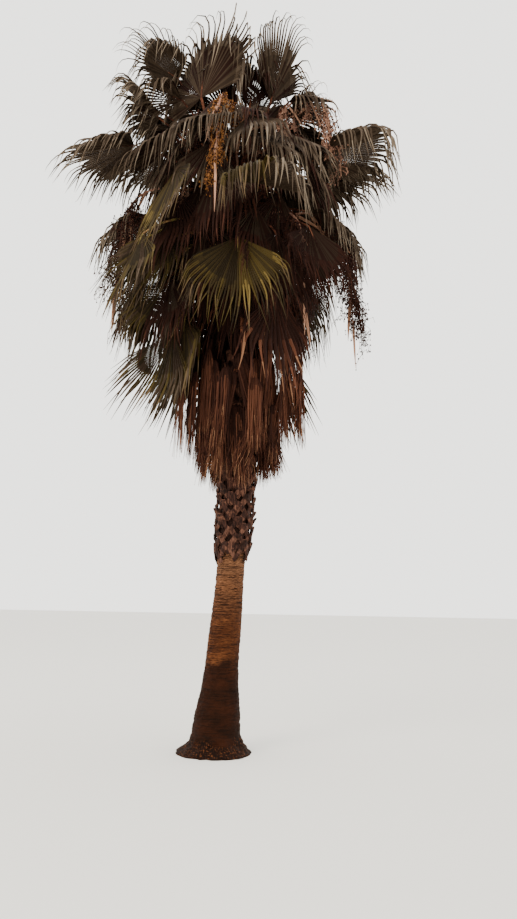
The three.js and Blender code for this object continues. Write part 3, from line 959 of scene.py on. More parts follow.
@dataclass(frozen=True)
class LeafBases:
    """The collar of split leaf bases that criss-cross round the trunk.

    Each of a size's two numbers is the least and the most that it may be, but for arm
    sizes that taper, which have the start's and the end's.

    Attributes:
        lowest: Height of the lowest row.
        highest: Height of the highest row.
        rows: How many rows there are.
        per_row: How many leaf bases a row has.
        astray: How far a base may be from its place, up and round in radians.
        arm_top: How far above the split an arm starts.
        arm_drop: How far down it reaches.
        arm_swing: How far aside it reaches.
        arm_proud: How far it tapers in towards the trunk.
        arm_half: Its half width.
        arm_deep: Its half depth.
        stub_length: How long a stalk's broken end is.
        stub_lean: How far it leans out, in radians.
        stub_rings: At each of its rings, the share of its length, its half width and
            its half depth.
        flaps_count: How many torn flaps hang from the collar's lower edge.
        flap_top: The mean height of that edge.
        flap_drop: How far down they hang.
        flap_half: Half their width.
        seed: Which small changes they have.
    """

    lowest: float = 2.13
    highest: float = 4.3
    rows: int = 26
    per_row: int = 7
    astray: Range = (0.012, 0.06)
    arm_top: float = 0.055
    arm_drop: Range = (0.15, 0.21)
    arm_swing: Range = (0.085, 0.115)
    arm_proud: Range = (0.042, 0.012)
    arm_half: Range = (0.032, 0.022)
    arm_deep: Range = (0.013, 0.008)
    stub_length: Range = (0.05, 0.135)
    stub_lean: Range = (0.15, 0.60)
    stub_rings: tuple[tuple[float, float, float], ...] = (
        (0, 0.054, 0.016),
        (0.35, 0.050, 0.018),
        (0.7, 0.044, 0.016),
        (0.92, 0.038, 0.013),
        (1.0, 0.022, 0.006),
    )
    flaps_count: int = 54
    flap_top: float = 2.14
    flap_drop: Range = (0.06, 0.15)
    flap_half: float = 0.036
    seed: int = 5

    def arms(self, bunch: Bunch, foot: np.ndarray, turn: np.ndarray, side: float) -> None:
        """Adds one arm of each split base: a strap that leans down and aside.

        Args:
            bunch: Where they go.
            foot: Heights where the bases split.
            turn: Their angles round the trunk.
            side: Which way the arm leans, −1 or 1.
        """
        rng = np.random.default_rng(self.seed + int(side))
        count = len(foot)
        share = np.linspace(0, 1, 6)[:, None]
        height = foot + self.arm_top - share * rng.uniform(*self.arm_drop, count)
        swing = rng.uniform(*self.arm_swing, count)
        out, _ = compass(turn + side * share**1.15 * swing / TRUNK.radius(foot))
        proud = taper(share, self.arm_proud) + rng.uniform(-0.004, 0.010, count)
        points = TRUNK.outside(height, out, proud)
        across = unit(np.cross(unit(np.gradient(points, axis=0)), out))
        half = taper(share, self.arm_half) * rng.uniform(0.8, 1.2, count)
        deep = np.broadcast_to(taper(share, self.arm_deep), half.shape)
        shades = rng.choice(2, (5, count), p=[0.6, 0.4])
        bunch.add(boxed(points, -across, out, half, deep), shades)

    def stubs(self, bunch: Bunch, foot: np.ndarray, turn: np.ndarray) -> None:
        """Adds the broken end of each leaf stalk, which leans up and out.

        Args:
            bunch: Where they go.
            foot: Heights where the bases split.
            turn: Their angles round the trunk.
        """
        rng = np.random.default_rng(self.seed + 7)
        count = len(foot)
        share, half, deep = np.array(self.stub_rings).T[:, :, None]
        length = rng.uniform(*self.stub_length, count)
        lean = rng.uniform(*self.stub_lean, count)
        out, side = compass(turn)
        away = share * length * np.sin(lean) + 0.018
        points = (
            TRUNK.outside(foot + 0 * share, out, away)
            + UP * (share * length * np.cos(lean) - 0.01)[..., None]
            + side * (share * rng.uniform(-0.02, 0.02, count))[..., None]
        )
        across = np.broadcast_to(side, points.shape)
        normal = np.cross(across, unit(np.gradient(points, axis=0)))
        half = half * rng.uniform(0.8, 1.15, count)
        shades = rng.choice(2, (4, count), p=[0.65, 0.35])
        bunch.add(boxed(points, across, normal, half, np.broadcast_to(deep, half.shape)), shades)

    def flaps(self, bunch: Bunch) -> None:
        """Adds the torn flaps that hang from the collar's lower edge.

        Args:
            bunch: Where they go.
        """
        rng = np.random.default_rng(self.seed + 9)
        count = self.flaps_count
        turn = np.sort(rng.uniform(0, TAU, count))
        share = np.linspace(0, 1, 5)[:, None]
        out, side = compass(turn)
        top = self.flap_top + 0.05 * np.sin(turn + 2.6) + rng.uniform(-0.02, 0.03, count)
        height = top - share * rng.uniform(*self.flap_drop, count)
        proud = 0.006 + 0.02 * np.sin(share * 2.6) * rng.uniform(0.3, 1.3, count)
        points = TRUNK.outside(height, out, proud)
        points = points + side * (share * rng.uniform(-0.03, 0.03, count))[..., None]
        across, normal = np.broadcast_to(side, points.shape), np.broadcast_to(-out, points.shape)
        half = (self.flap_half * (1 - share**2) + 0.004) * rng.uniform(0.6, 1.2, count)
        shades = rng.choice(2, (4, count), p=[0.85, 0.15])
        bunch.add(boxed(points, across, normal, half, np.full(half.shape, 0.004)), shades)

    def build(self, materials: Sequence[bpy.types.Material]) -> bpy.types.Object:
        """Makes the collar: rows of split bases, each turned by half a step.

        Args:
            materials: The colour of most of it and that of its paler edges.

        Returns:
            The object, linked to the scene.
        """
        rng = np.random.default_rng(self.seed)
        count = self.rows * self.per_row
        row, place = np.divmod(np.arange(count), self.per_row)
        up, round_ = self.astray
        foot = self.lowest + (self.highest - self.lowest) * row / (self.rows - 1)
        foot = foot + rng.uniform(-up, up, count)
        turn = TAU * (place + (row % 2) / 2) / self.per_row + rng.uniform(-round_, round_, count)
        bunch = Bunch("leaf_bases")
        self.arms(bunch, foot, turn, -1)
        self.arms(bunch, foot, turn, 1)
        self.stubs(bunch, foot, turn)
        self.flaps(bunch)
        return bunch.build(materials)


@dataclass(frozen=True)
class Tier:
    """Fronds of one kind. The numbers are the frame's own, lengths in millimetres.

    Attributes:
        name: The start of the nodes' names.
        fronds: Azimuth, rise, tilt, hinge, roll, stalk and reach of each.
        base: Height of the stalks' feet.
        spread: Angle from the costa to the outermost leaflet, in degrees.
        leaflets: How many leaflets a frond has here.
        hang: How far the leaflets turn down.
        bend: The shares of a leaflet where it starts and stops to droop.
        cup: How far the blade's sides stand up.
        look: How the fronds are coloured.
        ragged: How unlike each other the leaflets are.
        fullness: How wide the leaflets are, as a share of what closes the blade.
        closed: How closed the hub is.
        strap: How wide the leaflets stay beyond it.
        limp: The share of leaflets that hang from the hub's rim.
    """

    name: str
    fronds: tuple[tuple[float, ...], ...]
    base: float
    spread: float
    leaflets: int
    hang: float
    bend: Range
    cup: float
    look: Look = Look.SHADED
    ragged: float = 1.0
    fullness: float = 1.0
    closed: float = 1.0
    strap: float = 1.0
    limp: float = 0.15


TIERS: tuple[Tier, ...] = (
    Tier(
        name="young",
        fronds=(
            (320, 64, 71, 70, 0, 1200, 1240),
            (80, 76, 70, 72, 0, 1200, 1200),
        ),
        base=6500,
        spread=49,
        leaflets=34,
        hang=0.85,
        bend=(0.5, 1),
        cup=0.15,
        ragged=0.8,
    ),
    Tier(
        name="crest",
        fronds=(
            (228, 40, 68, 92, 0, 1230, 1480),
            (194, 66, 56, 30, 0, 1700, 1040),
            (2, 66, 52, 56, 0, 1250, 820),
            (124, 66, 56, 50, 0, 1450, 1350),
        ),
        base=6450,
        spread=96,
        leaflets=64,
        hang=0.92,
        bend=(0.35, 0.9),
        cup=0.1,
        ragged=1.35,
        fullness=0.8,
        limp=0.34,
    ),
    Tier(
        name="upper",
        fronds=(
            (186, 56, 38, 46, 0, 1540, 980),
            (195, 39, 7, -18, 0, 1470, 1160),
            (155, 53, 23, 14, 0, 1500, 1300),
            (100, 42, 14, 0, 0, 1250, 1350),
            (62, 52, 28, 16, 0, 1350, 1300),
            (18, 46, 18, 8, 0, 1250, 1250),
        ),
        base=6330,
        spread=74,
        leaflets=52,
        hang=0.85,
        bend=(0.15, 0.8),
        cup=-0.25,
        look=Look.GREY,
        fullness=1.15,
        limp=0.22,
        ragged=1.35,
    ),
    Tier(
        name="middle",
        fronds=(
            (344, 52, 17, 13, 0, 1240, 1400),
            (283, 22, -32, -12, 0, 960, 1260),
            (168, 30, -12, -24, 0, 1150, 1250),
            (130, 36, -6, -12, 0, 1350, 1350),
            (84, 22, -22, -32, 0, 1200, 1350),
            (36, 34, -8, -14, 0, 1200, 1300),
            (2, 28, -12, -34, 0, 880, 1150),
        ),
        base=6180,
        spread=66,
        leaflets=52,
        hang=0.97,
        bend=(0.05, 0.5),
        cup=-0.25,
        look=Look.GREY,
        fullness=1.05,
        limp=0.22,
        ragged=1.35,
    ),
    Tier(
        name="inner",
        fronds=(
            (138, 56, 0, -46, 0, 780, 1150),
            (244, 70, 16, -34, 0, 960, 1250),
            (206, 52, 10, -38, 0, 1060, 1250),
            (300, 64, 12, -46, 0, 860, 1150),
            (26, 58, -4, -50, 0, 800, 1150),
        ),
        base=6420,
        spread=56,
        leaflets=34,
        hang=0.97,
        bend=(0, 0.5),
        cup=-0.1,
        ragged=1.7,
        fullness=0.8,
    ),
    Tier(
        name="drooping",
        fronds=(
            (270, -4, -66, -76, 0, 1120, 1340),
            (204, 15, -42, -62, -40, 1000, 1400),
            (228, 39, -13, -72, 12, 1139, 1300),
        ),
        base=6050,
        spread=62,
        leaflets=50,
        hang=0.8,
        bend=(0.1, 0.8),
        cup=0,
        look=Look.OLIVE,
        fullness=0.62,
        limp=0.28,
        strap=1.15,
    ),
    Tier(
        name="lower",
        fronds=(
            (323, 13, -39, -68, 20, 1040, 1150),
            (352, 15, -42, -72, 45, 860, 1050),
            (148, 20, -36, -56, 0, 1250, 1400),
            (106, 8, -52, -70, 0, 1200, 1400),
            (64, 18, -38, -60, 0, 1250, 1350),
            (24, 6, -54, -72, 0, 960, 1250),
            (209, -22, -62, -66, -40, 1240, 1250),
            (304, 6, -58, -78, 0, 860, 1380),
        ),
        base=6000,
        spread=62,
        leaflets=56,
        hang=0.95,
        bend=(0, 0.5),
        cup=0,
        look=Look.OLIVE,
        ragged=1.5,
        fullness=0.72,
        closed=0.78,
        strap=1.15,
    ),
    Tier(
        name="hanging",
        fronds=(
            (204, -28, -76, -64, -50, 1380, 1250),
            (158, -28, -76, -74, 0, 1300, 1250),
            (104, -24, -72, -72, 0, 1220, 1300),
            (52, -30, -76, -74, 0, 1280, 1250),
        ),
        base=5600,
        spread=48,
        leaflets=28,
        hang=0.6,
        bend=(0, 0.7),
        cup=-0.1,
        look=Look.OLIVE,
        fullness=0.72,
        closed=0.85,
        strap=1.5,
        ragged=1.6,
    ),
    Tier(
        name="dead_outer",
        fronds=(
            (216, -6, -84, -84, -45, 880, 1480),
            (272, -15, -84, -86, 0, 740, 1480),
            (318, -15, -84, -86, 0, 680, 1450),
            (342, -2, -82, -84, 50, 900, 1350),
            (44, -15, -84, -86, 0, 720, 1500),
            (100, -15, -84, -86, 0, 700, 1550),
            (160, -15, -84, -86, 0, 830, 1450),
        ),
        base=5060,
        spread=26,
        leaflets=30,
        hang=0.95,
        bend=(0, 0.3),
        cup=-0.4,
        look=Look.SKIRT,
        ragged=1.2,
    ),
    Tier(
        name="dead_inner",
        fronds=(
            (250, -30, -86, -88, 0, 470, 1400),
            (310, -30, -86, -88, 0, 470, 1330),
            (10, -30, -86, -88, 0, 470, 1250),
            (70, -30, -86, -88, 0, 470, 1370),
            (130, -30, -86, -88, 0, 470, 1400),
            (190, -30, -86, -88, 0, 470, 1350),
        ),
        base=4400,
        spread=18.5,
        leaflets=26,
        hang=0.95,
        bend=(0, 0.3),
        cup=-0.12,
        look=Look.SKIRT,
        ragged=1.2,
    ),
)

# Fronds whose colours aren't their tier's: the look of their left and of their right half.
# Most of these paint light and shade: a half that faces the light has a lit look and one
# that faces away a shaded one, fronds deep in the crown have painted deep shade, and
# crest_frond_2 has a paler look as painted light because it faces away from the light.
LOOKS: dict[str, tuple[Look, Look]] = {
    "crest_frond_2": (Look.GREY, Look.GREY),
    "drooping_frond_1": (Look.GREEN, Look.LIT),
    "drooping_frond_2": (Look.OLIVE, Look.OLIVE),
    "drooping_frond_3": (Look.YELLOW_LIT, Look.OLIVE),
    "middle_frond_2": (Look.OLIVE, Look.GREY),
    "lower_frond_1": (Look.DEEP, Look.DEEP),
    "lower_frond_2": (Look.DEEP, Look.DEEP),
    "lower_frond_7": (Look.OLIVE, Look.DEEP),
    "lower_frond_8": (Look.DEEP, Look.DEEP),
}

# Fronds that are more ragged than their tier.
RAGGED: dict[str, float] = {
    "drooping_frond_1": 1.3,
    "drooping_frond_2": 1.6,
    "drooping_frond_3": 2.2,
    "lower_frond_1": 2.8,
    "lower_frond_2": 2.6,
    "lower_frond_7": 2.2,
    "lower_frond_8": 2.6,
}

# The frame's own rule for a blade, as shares of its reach: where the leaflets part, how
# far the costa runs into it, and how long the outermost leaflets are.
HUB_SHARE = 0.45
COSTA_SHARE = 0.16
SHORTEST_SHARE = 0.7

# How much sooner the outermost leaflets start and stop to bend, and how far out a
# leaflet swings as it bends.
SOONER = (0.7, 0.35)
OUTWARD = 1.2

# How far a stalk's foot may be from its tier's height, in millimetres.
BASE_CHANGE = 40

# A leaflet's free part is worked out in fine steps, and has rings at some of them. The
# hub has two rings, at shares of its radius.
STEPS = 30
KEPT = np.array([0, 3, 7, 11, 15, 19, 23, 27, 30])
HUB_RINGS = (0.012 / HUB_SHARE, 0.6)

# Which row of its look each stretch of a leaflet takes: the hub's, the blade's, the tip's.
ZONES = np.array([0, 0, 1, 1, 1, 1, 2, 2, 2, 2])

# A leaflet's thickness along its rib.
THICK = 0.0026

# How far leaflets may leave the box of their node.
SLACK = 0.05

# The looks whose stalks are olive and tan and not brown and rust.
FRESH = (Look.LIT, Look.YELLOW_LIT, Look.OLIVE, Look.GREEN)

# A stalk's half width and half depth, each at shares of its length, and both again at
# the middle and the end of the costa.
STALK_HALF = ((0, 0.12, 0.4, 1), (0.055, 0.034, 0.024, 0.017))
STALK_DEEP = ((0, 0.12, 1), (0.026, 0.018, 0.010))
COSTA_HALF = (0.011, 0.004)
COSTA_DEEP = (0.008, 0.003)

# The teeth along each edge of a stalk: how many a metre has, how long they are, how far
# they hook forwards, and their half width at the root and at the tip.
TEETH = 22
TOOTH_LENGTH = 0.011
TOOTH_HOOK = 0.006
TOOTH_HALF = (0.006, 0.0006)


class Frond:
    """One frond, by the frame's rule: its stalk, its blade's axes and its leaflets."""

    def __init__(self, tier: Tier, index: int) -> None:
        """Works out the stalk's arc and the blade's axes.

        Args:
            tier: The frond's tier.
            index: Its place in the tier, from 0.
        """
        azimuth, rise, tilt, hinge, roll, stalk, reach = tier.fronds[index]
        self.tier = tier
        self.name = f"{tier.name}_frond_{index + 1}"
        self.looks = LOOKS.get(self.name, (tier.look, tier.look))
        self.loose = RAGGED.get(self.name, tier.ragged)
        self.rng = np.random.default_rng([len(tier.name), index, int(azimuth)])
        self.rise, self.tilt = math.radians(rise), math.radians(tilt)
        self.stalk, self.reach = stalk * MM, reach * MM
        self.spread = math.radians(tier.spread)
        self.out, self.side = compass(math.radians(azimuth))
        self.foot = TRUNK.centre((tier.base + BASE_CHANGE * vary(azimuth, 1)) * MM)
        self.first = 0.8 * float(TRUNK.radius(self.foot[2])) / self.stalk
        self.costa = self.sloped(np.array(math.radians(hinge)))
        self.hub = self.stalk_points(np.array([1.0]))[0][0]
        self.across = turned(self.side, self.costa, math.radians(roll))
        self.normal = np.cross(self.costa, self.across)

    def sloped(self, slope: np.ndarray) -> np.ndarray:
        """Returns unit vectors outwards at a slope above level."""
        return np.cos(slope)[..., None] * self.out + np.sin(slope)[..., None] * UP

    def stalk_points(self, share: np.ndarray) -> tuple[np.ndarray, np.ndarray]:
        """Returns points and headings along the stalk.

        Args:
            share: Shares of the stalk's length; above 1 they run on along the costa.

        Returns:
            The slope turns evenly, so a point is length · (sin s − sin rise) / turn away
            and length · (cos rise − cos s) / turn up.
        """
        turn = self.tilt - self.rise
        slope = self.rise + turn * np.minimum(share, 1)
        away = self.stalk * (np.sin(slope) - math.sin(self.rise)) / turn
        up = self.stalk * (math.cos(self.rise) - np.cos(slope)) / turn
        beyond = np.maximum(share - 1, 0) * self.stalk
        points = self.foot + away[:, None] * self.out + up[:, None] * UP
        return points + beyond[:, None] * self.costa, self.sloped(slope)

    def leaflets(self, bunch: Bunch, room: tuple[Vector, Vector] | None) -> None:
        """Adds the blade: folded leaflets, joined near the hub and free beyond it.

        The leaflets are spread evenly from side to side. Each runs straight to the hub's
        rim and twists more the further out it is, and the blade's sides stand up by its
        cup.

        Args:
            bunch: Where they go.
            room: The lowest and highest corner of the frond's node, or None.
        """
        tier, count = self.tier, self.tier.leaflets
        angle = self.spread * ((2 * np.arange(count) + 1) / count - 1)
        aside = np.abs(angle) / self.spread
        cosine, sine = np.cos(angle)[:, None], np.sin(angle)[:, None]
        across = cosine * self.across - sine * self.costa
        way = cosine * self.costa + sine * self.across + tier.cup * np.abs(sine) * self.normal
        way = unit(way)
        reach = self.reach * (1 - (1 - SHORTEST_SHARE) * aside**2)
        rim = reach * HUB_SHARE
        line, heading = self.free_part(way, across, aside, reach - rim, rim)
        inside = [self.hub + way * (rim * share)[:, None] for share in HUB_RINGS]
        points = np.concatenate([inside, line[KEPT]])
        half = self.half_widths(rim)
        forward = np.concatenate([[way, way], heading[KEPT]])
        normal = unit(np.cross(forward, np.broadcast_to(across, forward.shape)))
        twist = np.concatenate([[0, 0], KEPT / STEPS])[:, None, None] ** 1.3
        twist = twist * (self.loose * self.rng.normal(0, 0.7, count))[None, :, None]
        normal = turned(normal, forward, twist)
        fold = np.concatenate([[0.8, 0.9], np.ones(len(KEPT))])[:, None, None]
        if room is not None:
            points = np.clip(points, np.array(room[0]) - SLACK, np.array(room[1]) + SLACK)
        rings = folded(points, np.cross(normal, forward), normal, half, fold, THICK)
        bunch.add(rings, self.shading())

    def free_part(
        self, way: np.ndarray, across: np.ndarray, aside: np.ndarray, free: np.ndarray, rim: np.ndarray
    ) -> tuple[np.ndarray, np.ndarray]:
        """Returns the middle lines of the leaflets from the hub's rim on.

        Args:
            way: Unit vectors of the way that they set off.
            across: Unit vectors across them.
            aside: How far to the side they are, from 0 to 1.
            free: Their lengths beyond the rim.
            rim: The hub's radius for each.

        Returns:
            Points and headings, (steps + 1, leaflets, 3). A heading is the unit vector of
            way · (1 − b) + down · b + out · OUTWARD · b (1 − b) and a small sway, where b is
            hang times the smooth step from the first bend to the last. Limp leaflets bend
            at the rim.
        """
        tier, rng, loose = self.tier, self.rng, self.loose
        count = len(aside)
        length = free * (1 + loose * rng.uniform(-0.2, 0.05, count))
        start = tier.bend[0] * (1 - SOONER[0] * aside) + loose * rng.uniform(-0.1, 0.1, count)
        stop = tier.bend[1] * (1 - SOONER[1] * aside) + loose * rng.uniform(-0.12, 0.14, count)
        limp = rng.random(count) < tier.limp * loose
        start, stop = np.where(limp, 0, start), np.where(limp, 0.35, stop)
        hang = np.clip(tier.hang + loose * rng.uniform(-0.1, 0.04, count), 0, 0.985)
        sway = loose * rng.normal(0, 0.1, count)
        share = (np.arange(STEPS + 1) / STEPS)[:, None]
        bent = (hang * smooth(start, np.maximum(stop, start + 0.2), share))[..., None]
        heading = way * (1 - bent) + DOWN * bent + self.out * (OUTWARD * bent * (1 - bent))
        heading = unit(heading + across * (sway * share)[..., None])
        return walked(self.hub + way * rim[:, None], heading, length / STEPS), heading

    def half_widths(self, rim: np.ndarray) -> np.ndarray:
        """Returns the leaflets' half widths at every ring.

        Args:
            rim: The hub's radius for each leaflet.

        Returns:
            The half widths, (rings, leaflets): in the hub they close the blade, just past
            its rim they are widest, and from there they narrow to a fine tip.
        """
        tier = self.tier
        slim = tier.fullness / (1 + 0.2 * max(0.0, self.loose - 1))
        strap = slim * tier.strap
        pitch = rim * math.sin(self.spread / tier.leaflets)
        closed = 0.56 * (1 + min(slim, 1.0)) * tier.closed
        free = [1.12 * tier.closed, 1.3 * slim, 1.05 * strap, 0.66 * strap, 0.28 * strap, 0.03]
        width = np.interp(KEPT / STEPS, [0, 0.22, 0.35, 0.6, 0.85, 1], free)[:, None]
        uneven = 1 + (KEPT / STEPS)[:, None] * self.rng.uniform(-0.25, 0.25, tier.leaflets)
        return np.concatenate([np.outer(HUB_RINGS, closed * pitch), width * pitch * uneven])

    def shading(self) -> np.ndarray:
        """Returns the shade number of every stretch of every leaflet.

        Each half of the blade has its own look, which paints light on one half and shade on
        the other where they differ, and a leaflet changes its shade up to a stretch sooner or
        later than the others.

        Returns:
            The numbers, (stretches, leaflets).
        """
        count = self.tier.leaflets
        halves = (count // 2, count - count // 2)
        shades = [dealt(look, size, self.rng) for look, size in zip(self.looks, halves, strict=True)]
        stretch = np.arange(len(ZONES))[:, None] + self.rng.integers(-1, 2, count)
        zone = ZONES[np.clip(stretch, 0, len(ZONES) - 1)]
        zone[:2] = 0
        return np.take_along_axis(np.concatenate(shades, axis=1), zone, axis=0)

    def half_stalk(self, share: np.ndarray) -> np.ndarray:
        """Returns the stalk's half width at shares of its length: wide at its foot."""
        spot = np.clip((share - self.first) / (1 - self.first), 0, 1)
        return np.interp(spot, *STALK_HALF)

    def stem(self, bunch: Bunch, toothed: bool = True) -> None:
        """Adds the stalk: a tapering strap with a keel, from the trunk into the blade.

        Args:
            bunch: Where it goes.
            toothed: Whether it gets its teeth.
        """
        beyond = COSTA_SHARE * self.reach / self.stalk
        share = np.concatenate([np.linspace(self.first, 1, 13), [1 + beyond * 0.5, 1 + beyond]])
        points, heading = self.stalk_points(share)
        heading[-2:] = self.costa
        side = np.broadcast_to(self.side, points.shape)
        half = self.half_stalk(share)
        spot = np.clip((share - self.first) / (1 - self.first), 0, 1)
        deep = np.interp(spot, *STALK_DEEP)
        half[-2:], deep[-2:] = COSTA_HALF, COSTA_DEEP
        normal = np.cross(heading, side)
        rings = boxed(points[:, None], side[:, None], normal[:, None], half[:, None], deep[:, None])
        worn = (self.rng.random((len(points) - 1, 1)) < 0.35).astype(int)
        bunch.add(rings, worn + 2 * (self.looks[1] in FRESH))
        if toothed:
            self.teeth(bunch)

    def teeth(self, bunch: Bunch) -> None:
        """Adds the hooked teeth along both edges of the stalk.

        Args:
            bunch: Where they go.
        """
        count = 2 * int(self.stalk * TEETH)
        share = np.linspace(self.first + 0.1, 0.93, count)
        edge = np.where(np.arange(count) % 2, 1.0, -1.0)[:, None]
        points, heading = self.stalk_points(share)
        root = points + self.side * edge * (self.half_stalk(share) * 0.92)[:, None]
        tip = root + self.side * edge * TOOTH_LENGTH + heading * TOOTH_HOOK
        across = np.stack([heading, heading])
        size = np.stack([np.full(count, half) for half in TOOTH_HALF])
        normal = np.cross(across, self.side * edge)
        bunch.add(boxed(np.stack([root, tip]), across, normal, size, size * 0.5), np.ones((1, count)))


# Where a folded fan's leaflet has its rings, as shares of its length, which row of its
# look each stretch takes, and its width at shares of its length.
FOLD_RINGS = np.array([0, 0.04, 0.11, 0.22, 0.4, 0.6, 0.8, 0.93, 1.0])
FOLD_ZONES = np.array([0, 0, 0, 1, 1, 1, 2, 2])
FOLD_WIDTH = ((0, 0.08, 0.4, 0.75, 0.93, 1), (0.3, 0.9, 1, 0.6, 0.25, 0.05))


@dataclass(frozen=True)
class FoldedFan:
    """A dead fan that has folded down round the end of its stalk, like a shut umbrella.

    Attributes:
        top: Where the stalk ends.
        azimuth: The way that it faces, in degrees.
        length: How long its leaflets are.
        width: How wide it is.
        look: How it is coloured.
        seed: Which small changes it has.
        leaflets: How many leaflets it has.
        lean: How far the whole fan leans aside, as a spread.
        sway: How far its leaflets' ends sway aside and outwards, as spreads.
        half: The least and the most of a leaflet's half width.
        thick: A leaflet's thickness along its rib.
    """

    top: tuple[float, float, float]
    azimuth: float
    length: float
    width: float
    look: Look
    seed: int
    leaflets: int = 46
    lean: float = 0.09
    sway: tuple[float, float] = (0.045, 0.035)
    half: Range = (0.004, 0.0095)
    thick: float = 0.0024

    def add(self, bunch: Bunch) -> None:
        """Adds its leaflets.

        Each sets off from the fold's crown to its own place in the fold, by the root of
        its share of the first fifth, and hangs down from there by its length. It draws
        in again further down and ends in a fine tip with its own small sway.

        Args:
            bunch: Where they go.
        """
        rng = np.random.default_rng(self.seed)
        count = self.leaflets
        out, side = compass(math.radians(self.azimuth))
        spot = np.linspace(-1, 1, count) + rng.normal(0, 0.05, count)
        front = rng.uniform(-0.25, 1.0, count) * np.sqrt(np.maximum(0.05, 1 - 0.8 * spot**2))
        aside = self.width * (side * spot[:, None] / 2 + out * front[:, None] * 0.32)
        share = FOLD_RINGS[:, None]
        length = self.length * (1 - 0.4 * rng.random(count) ** 2) * (1 - 0.1 * np.abs(spot))
        opened = np.sqrt(np.minimum(1, share / 0.2))
        narrow = 1 - 0.35 * smooth(0.35, 1.0, share) * rng.uniform(0.3, 1.3, count)
        sway = side * rng.normal(0, self.sway[0], count)[:, None]
        sway = sway + out * rng.normal(0, self.sway[1], count)[:, None]
        sway = sway + side * rng.normal(0, self.lean)
        points = (
            np.array(self.top)
            + aside * (opened * narrow)[..., None]
            + sway * (share**1.3)[..., None]
            + DOWN * (share * length - 0.035 * opened)[..., None]
        )
        forward = unit(np.gradient(points, axis=0))
        facing = unit(aside + out * 0.02 + 1e-6)
        across = unit(np.cross(np.broadcast_to(facing, forward.shape), forward))
        across = turned(across, forward, rng.normal(0, 0.6, count)[None, :, None] * share[..., None])
        half = np.interp(share, *FOLD_WIDTH) * rng.uniform(*self.half, count)
        rings = folded(points, across, np.cross(forward, across), half, 0.8, self.thick)
        bunch.add(rings, dealt(self.look, count, rng)[FOLD_ZONES])


@dataclass(frozen=True)
class Skirt:
    """The skirt of folded dead fans: each node of the frame stands for a few of them.

    Attributes:
        fans: How many fans each frond node stands for.
        away: How far out of the node's own place they may be.
        shorter: How much shorter the furthest of them are.
        width: How wide they are.
        below: How far under the hub the middle one starts.
        rounded: How much lower the outermost start.
        uneven: How much lower than that any of them may start.
        turn: How far the outermost face aside, in degrees.
        looks: How they are coloured, and how often.
        seed: Which small changes they have.
    """

    fans: int = 5
    away: Range = (-0.12, 0.05)
    shorter: float = 0.0
    width: Range = (0.12, 0.205)
    below: float = 0.08
    rounded: float = 0.26
    uneven: float = 0.34
    turn: float = 22
    looks: tuple[tuple[Look, float], ...] = (
        (Look.SKIRT, 0.4),
        (Look.RUSTY, 0.3),
        (Look.STRAWY, 0.3),
    )
    seed: int = 40

    def add(self, bunch: Bunch, fronds: Sequence[Frond]) -> None:
        """Adds the fans of every dead frond, side by side in the node's own room.

        Args:
            bunch: Where they go.
            fronds: The dead fronds.
        """
        rng = np.random.default_rng(self.seed)
        looks, odds = zip(*self.looks, strict=True)
        for number, frond in enumerate(fronds):
            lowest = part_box(frond.name)[0][2]
            rim = frond.reach * HUB_SHARE * math.sin(frond.spread)
            azimuth = math.degrees(math.atan2(frond.out[1], frond.out[0]))
            for k in range(self.fans):
                aside = (k + 0.5) / self.fans * 2 - 1 + rng.uniform(-0.12, 0.12)
                further = rng.random()
                top = frond.hub + frond.across * (aside * rim * 0.75)
                top = top + frond.out * taper(further, self.away)
                top[2] = frond.hub[2] - self.below - self.rounded * abs(aside)
                top[2] = top[2] - rng.uniform(0.0, self.uneven)
                length = min(frond.reach, top[2] - lowest) * rng.uniform(0.93, 1.04)
                length = length * (1 - self.shorter * further)
                width = rng.uniform(*self.width)
                look = looks[rng.choice(len(looks), p=odds)]
                face = azimuth + aside * self.turn
                FoldedFan(tuple(top), face, length, width, look, number * 10 + k).add(bunch)


@dataclass(frozen=True)
class Ring:
    """A ring of old fans at one height, inside the crown.

    Attributes:
        base: Height of their feet, in millimetres.
        slopes: Their rise, tilt and hinge, in degrees.
        stalk: The length of their stalks, in millimetres.
        reach: How far their leaflets reach, in millimetres.
        count: How many there are.
        look: How they are coloured.
        start: The azimuth of the first, in degrees.
        arc: The part of the circle that they fill, in degrees.
    """

    base: float
    slopes: tuple[float, float, float]
    stalk: float
    reach: float
    count: int
    look: Look
    start: float = 0.0
    arc: float = 360.0


# What every ring's fans have in common.
OLD_FANS = Tier(
    name="thatch",
    fronds=(),
    base=0,
    spread=50,
    leaflets=20,
    hang=0.92,
    bend=(0, 0.5),
    cup=-0.3,
    ragged=1.8,
    fullness=0.8,
    closed=0.85,
    strap=1.1,
    limp=0.25,
)


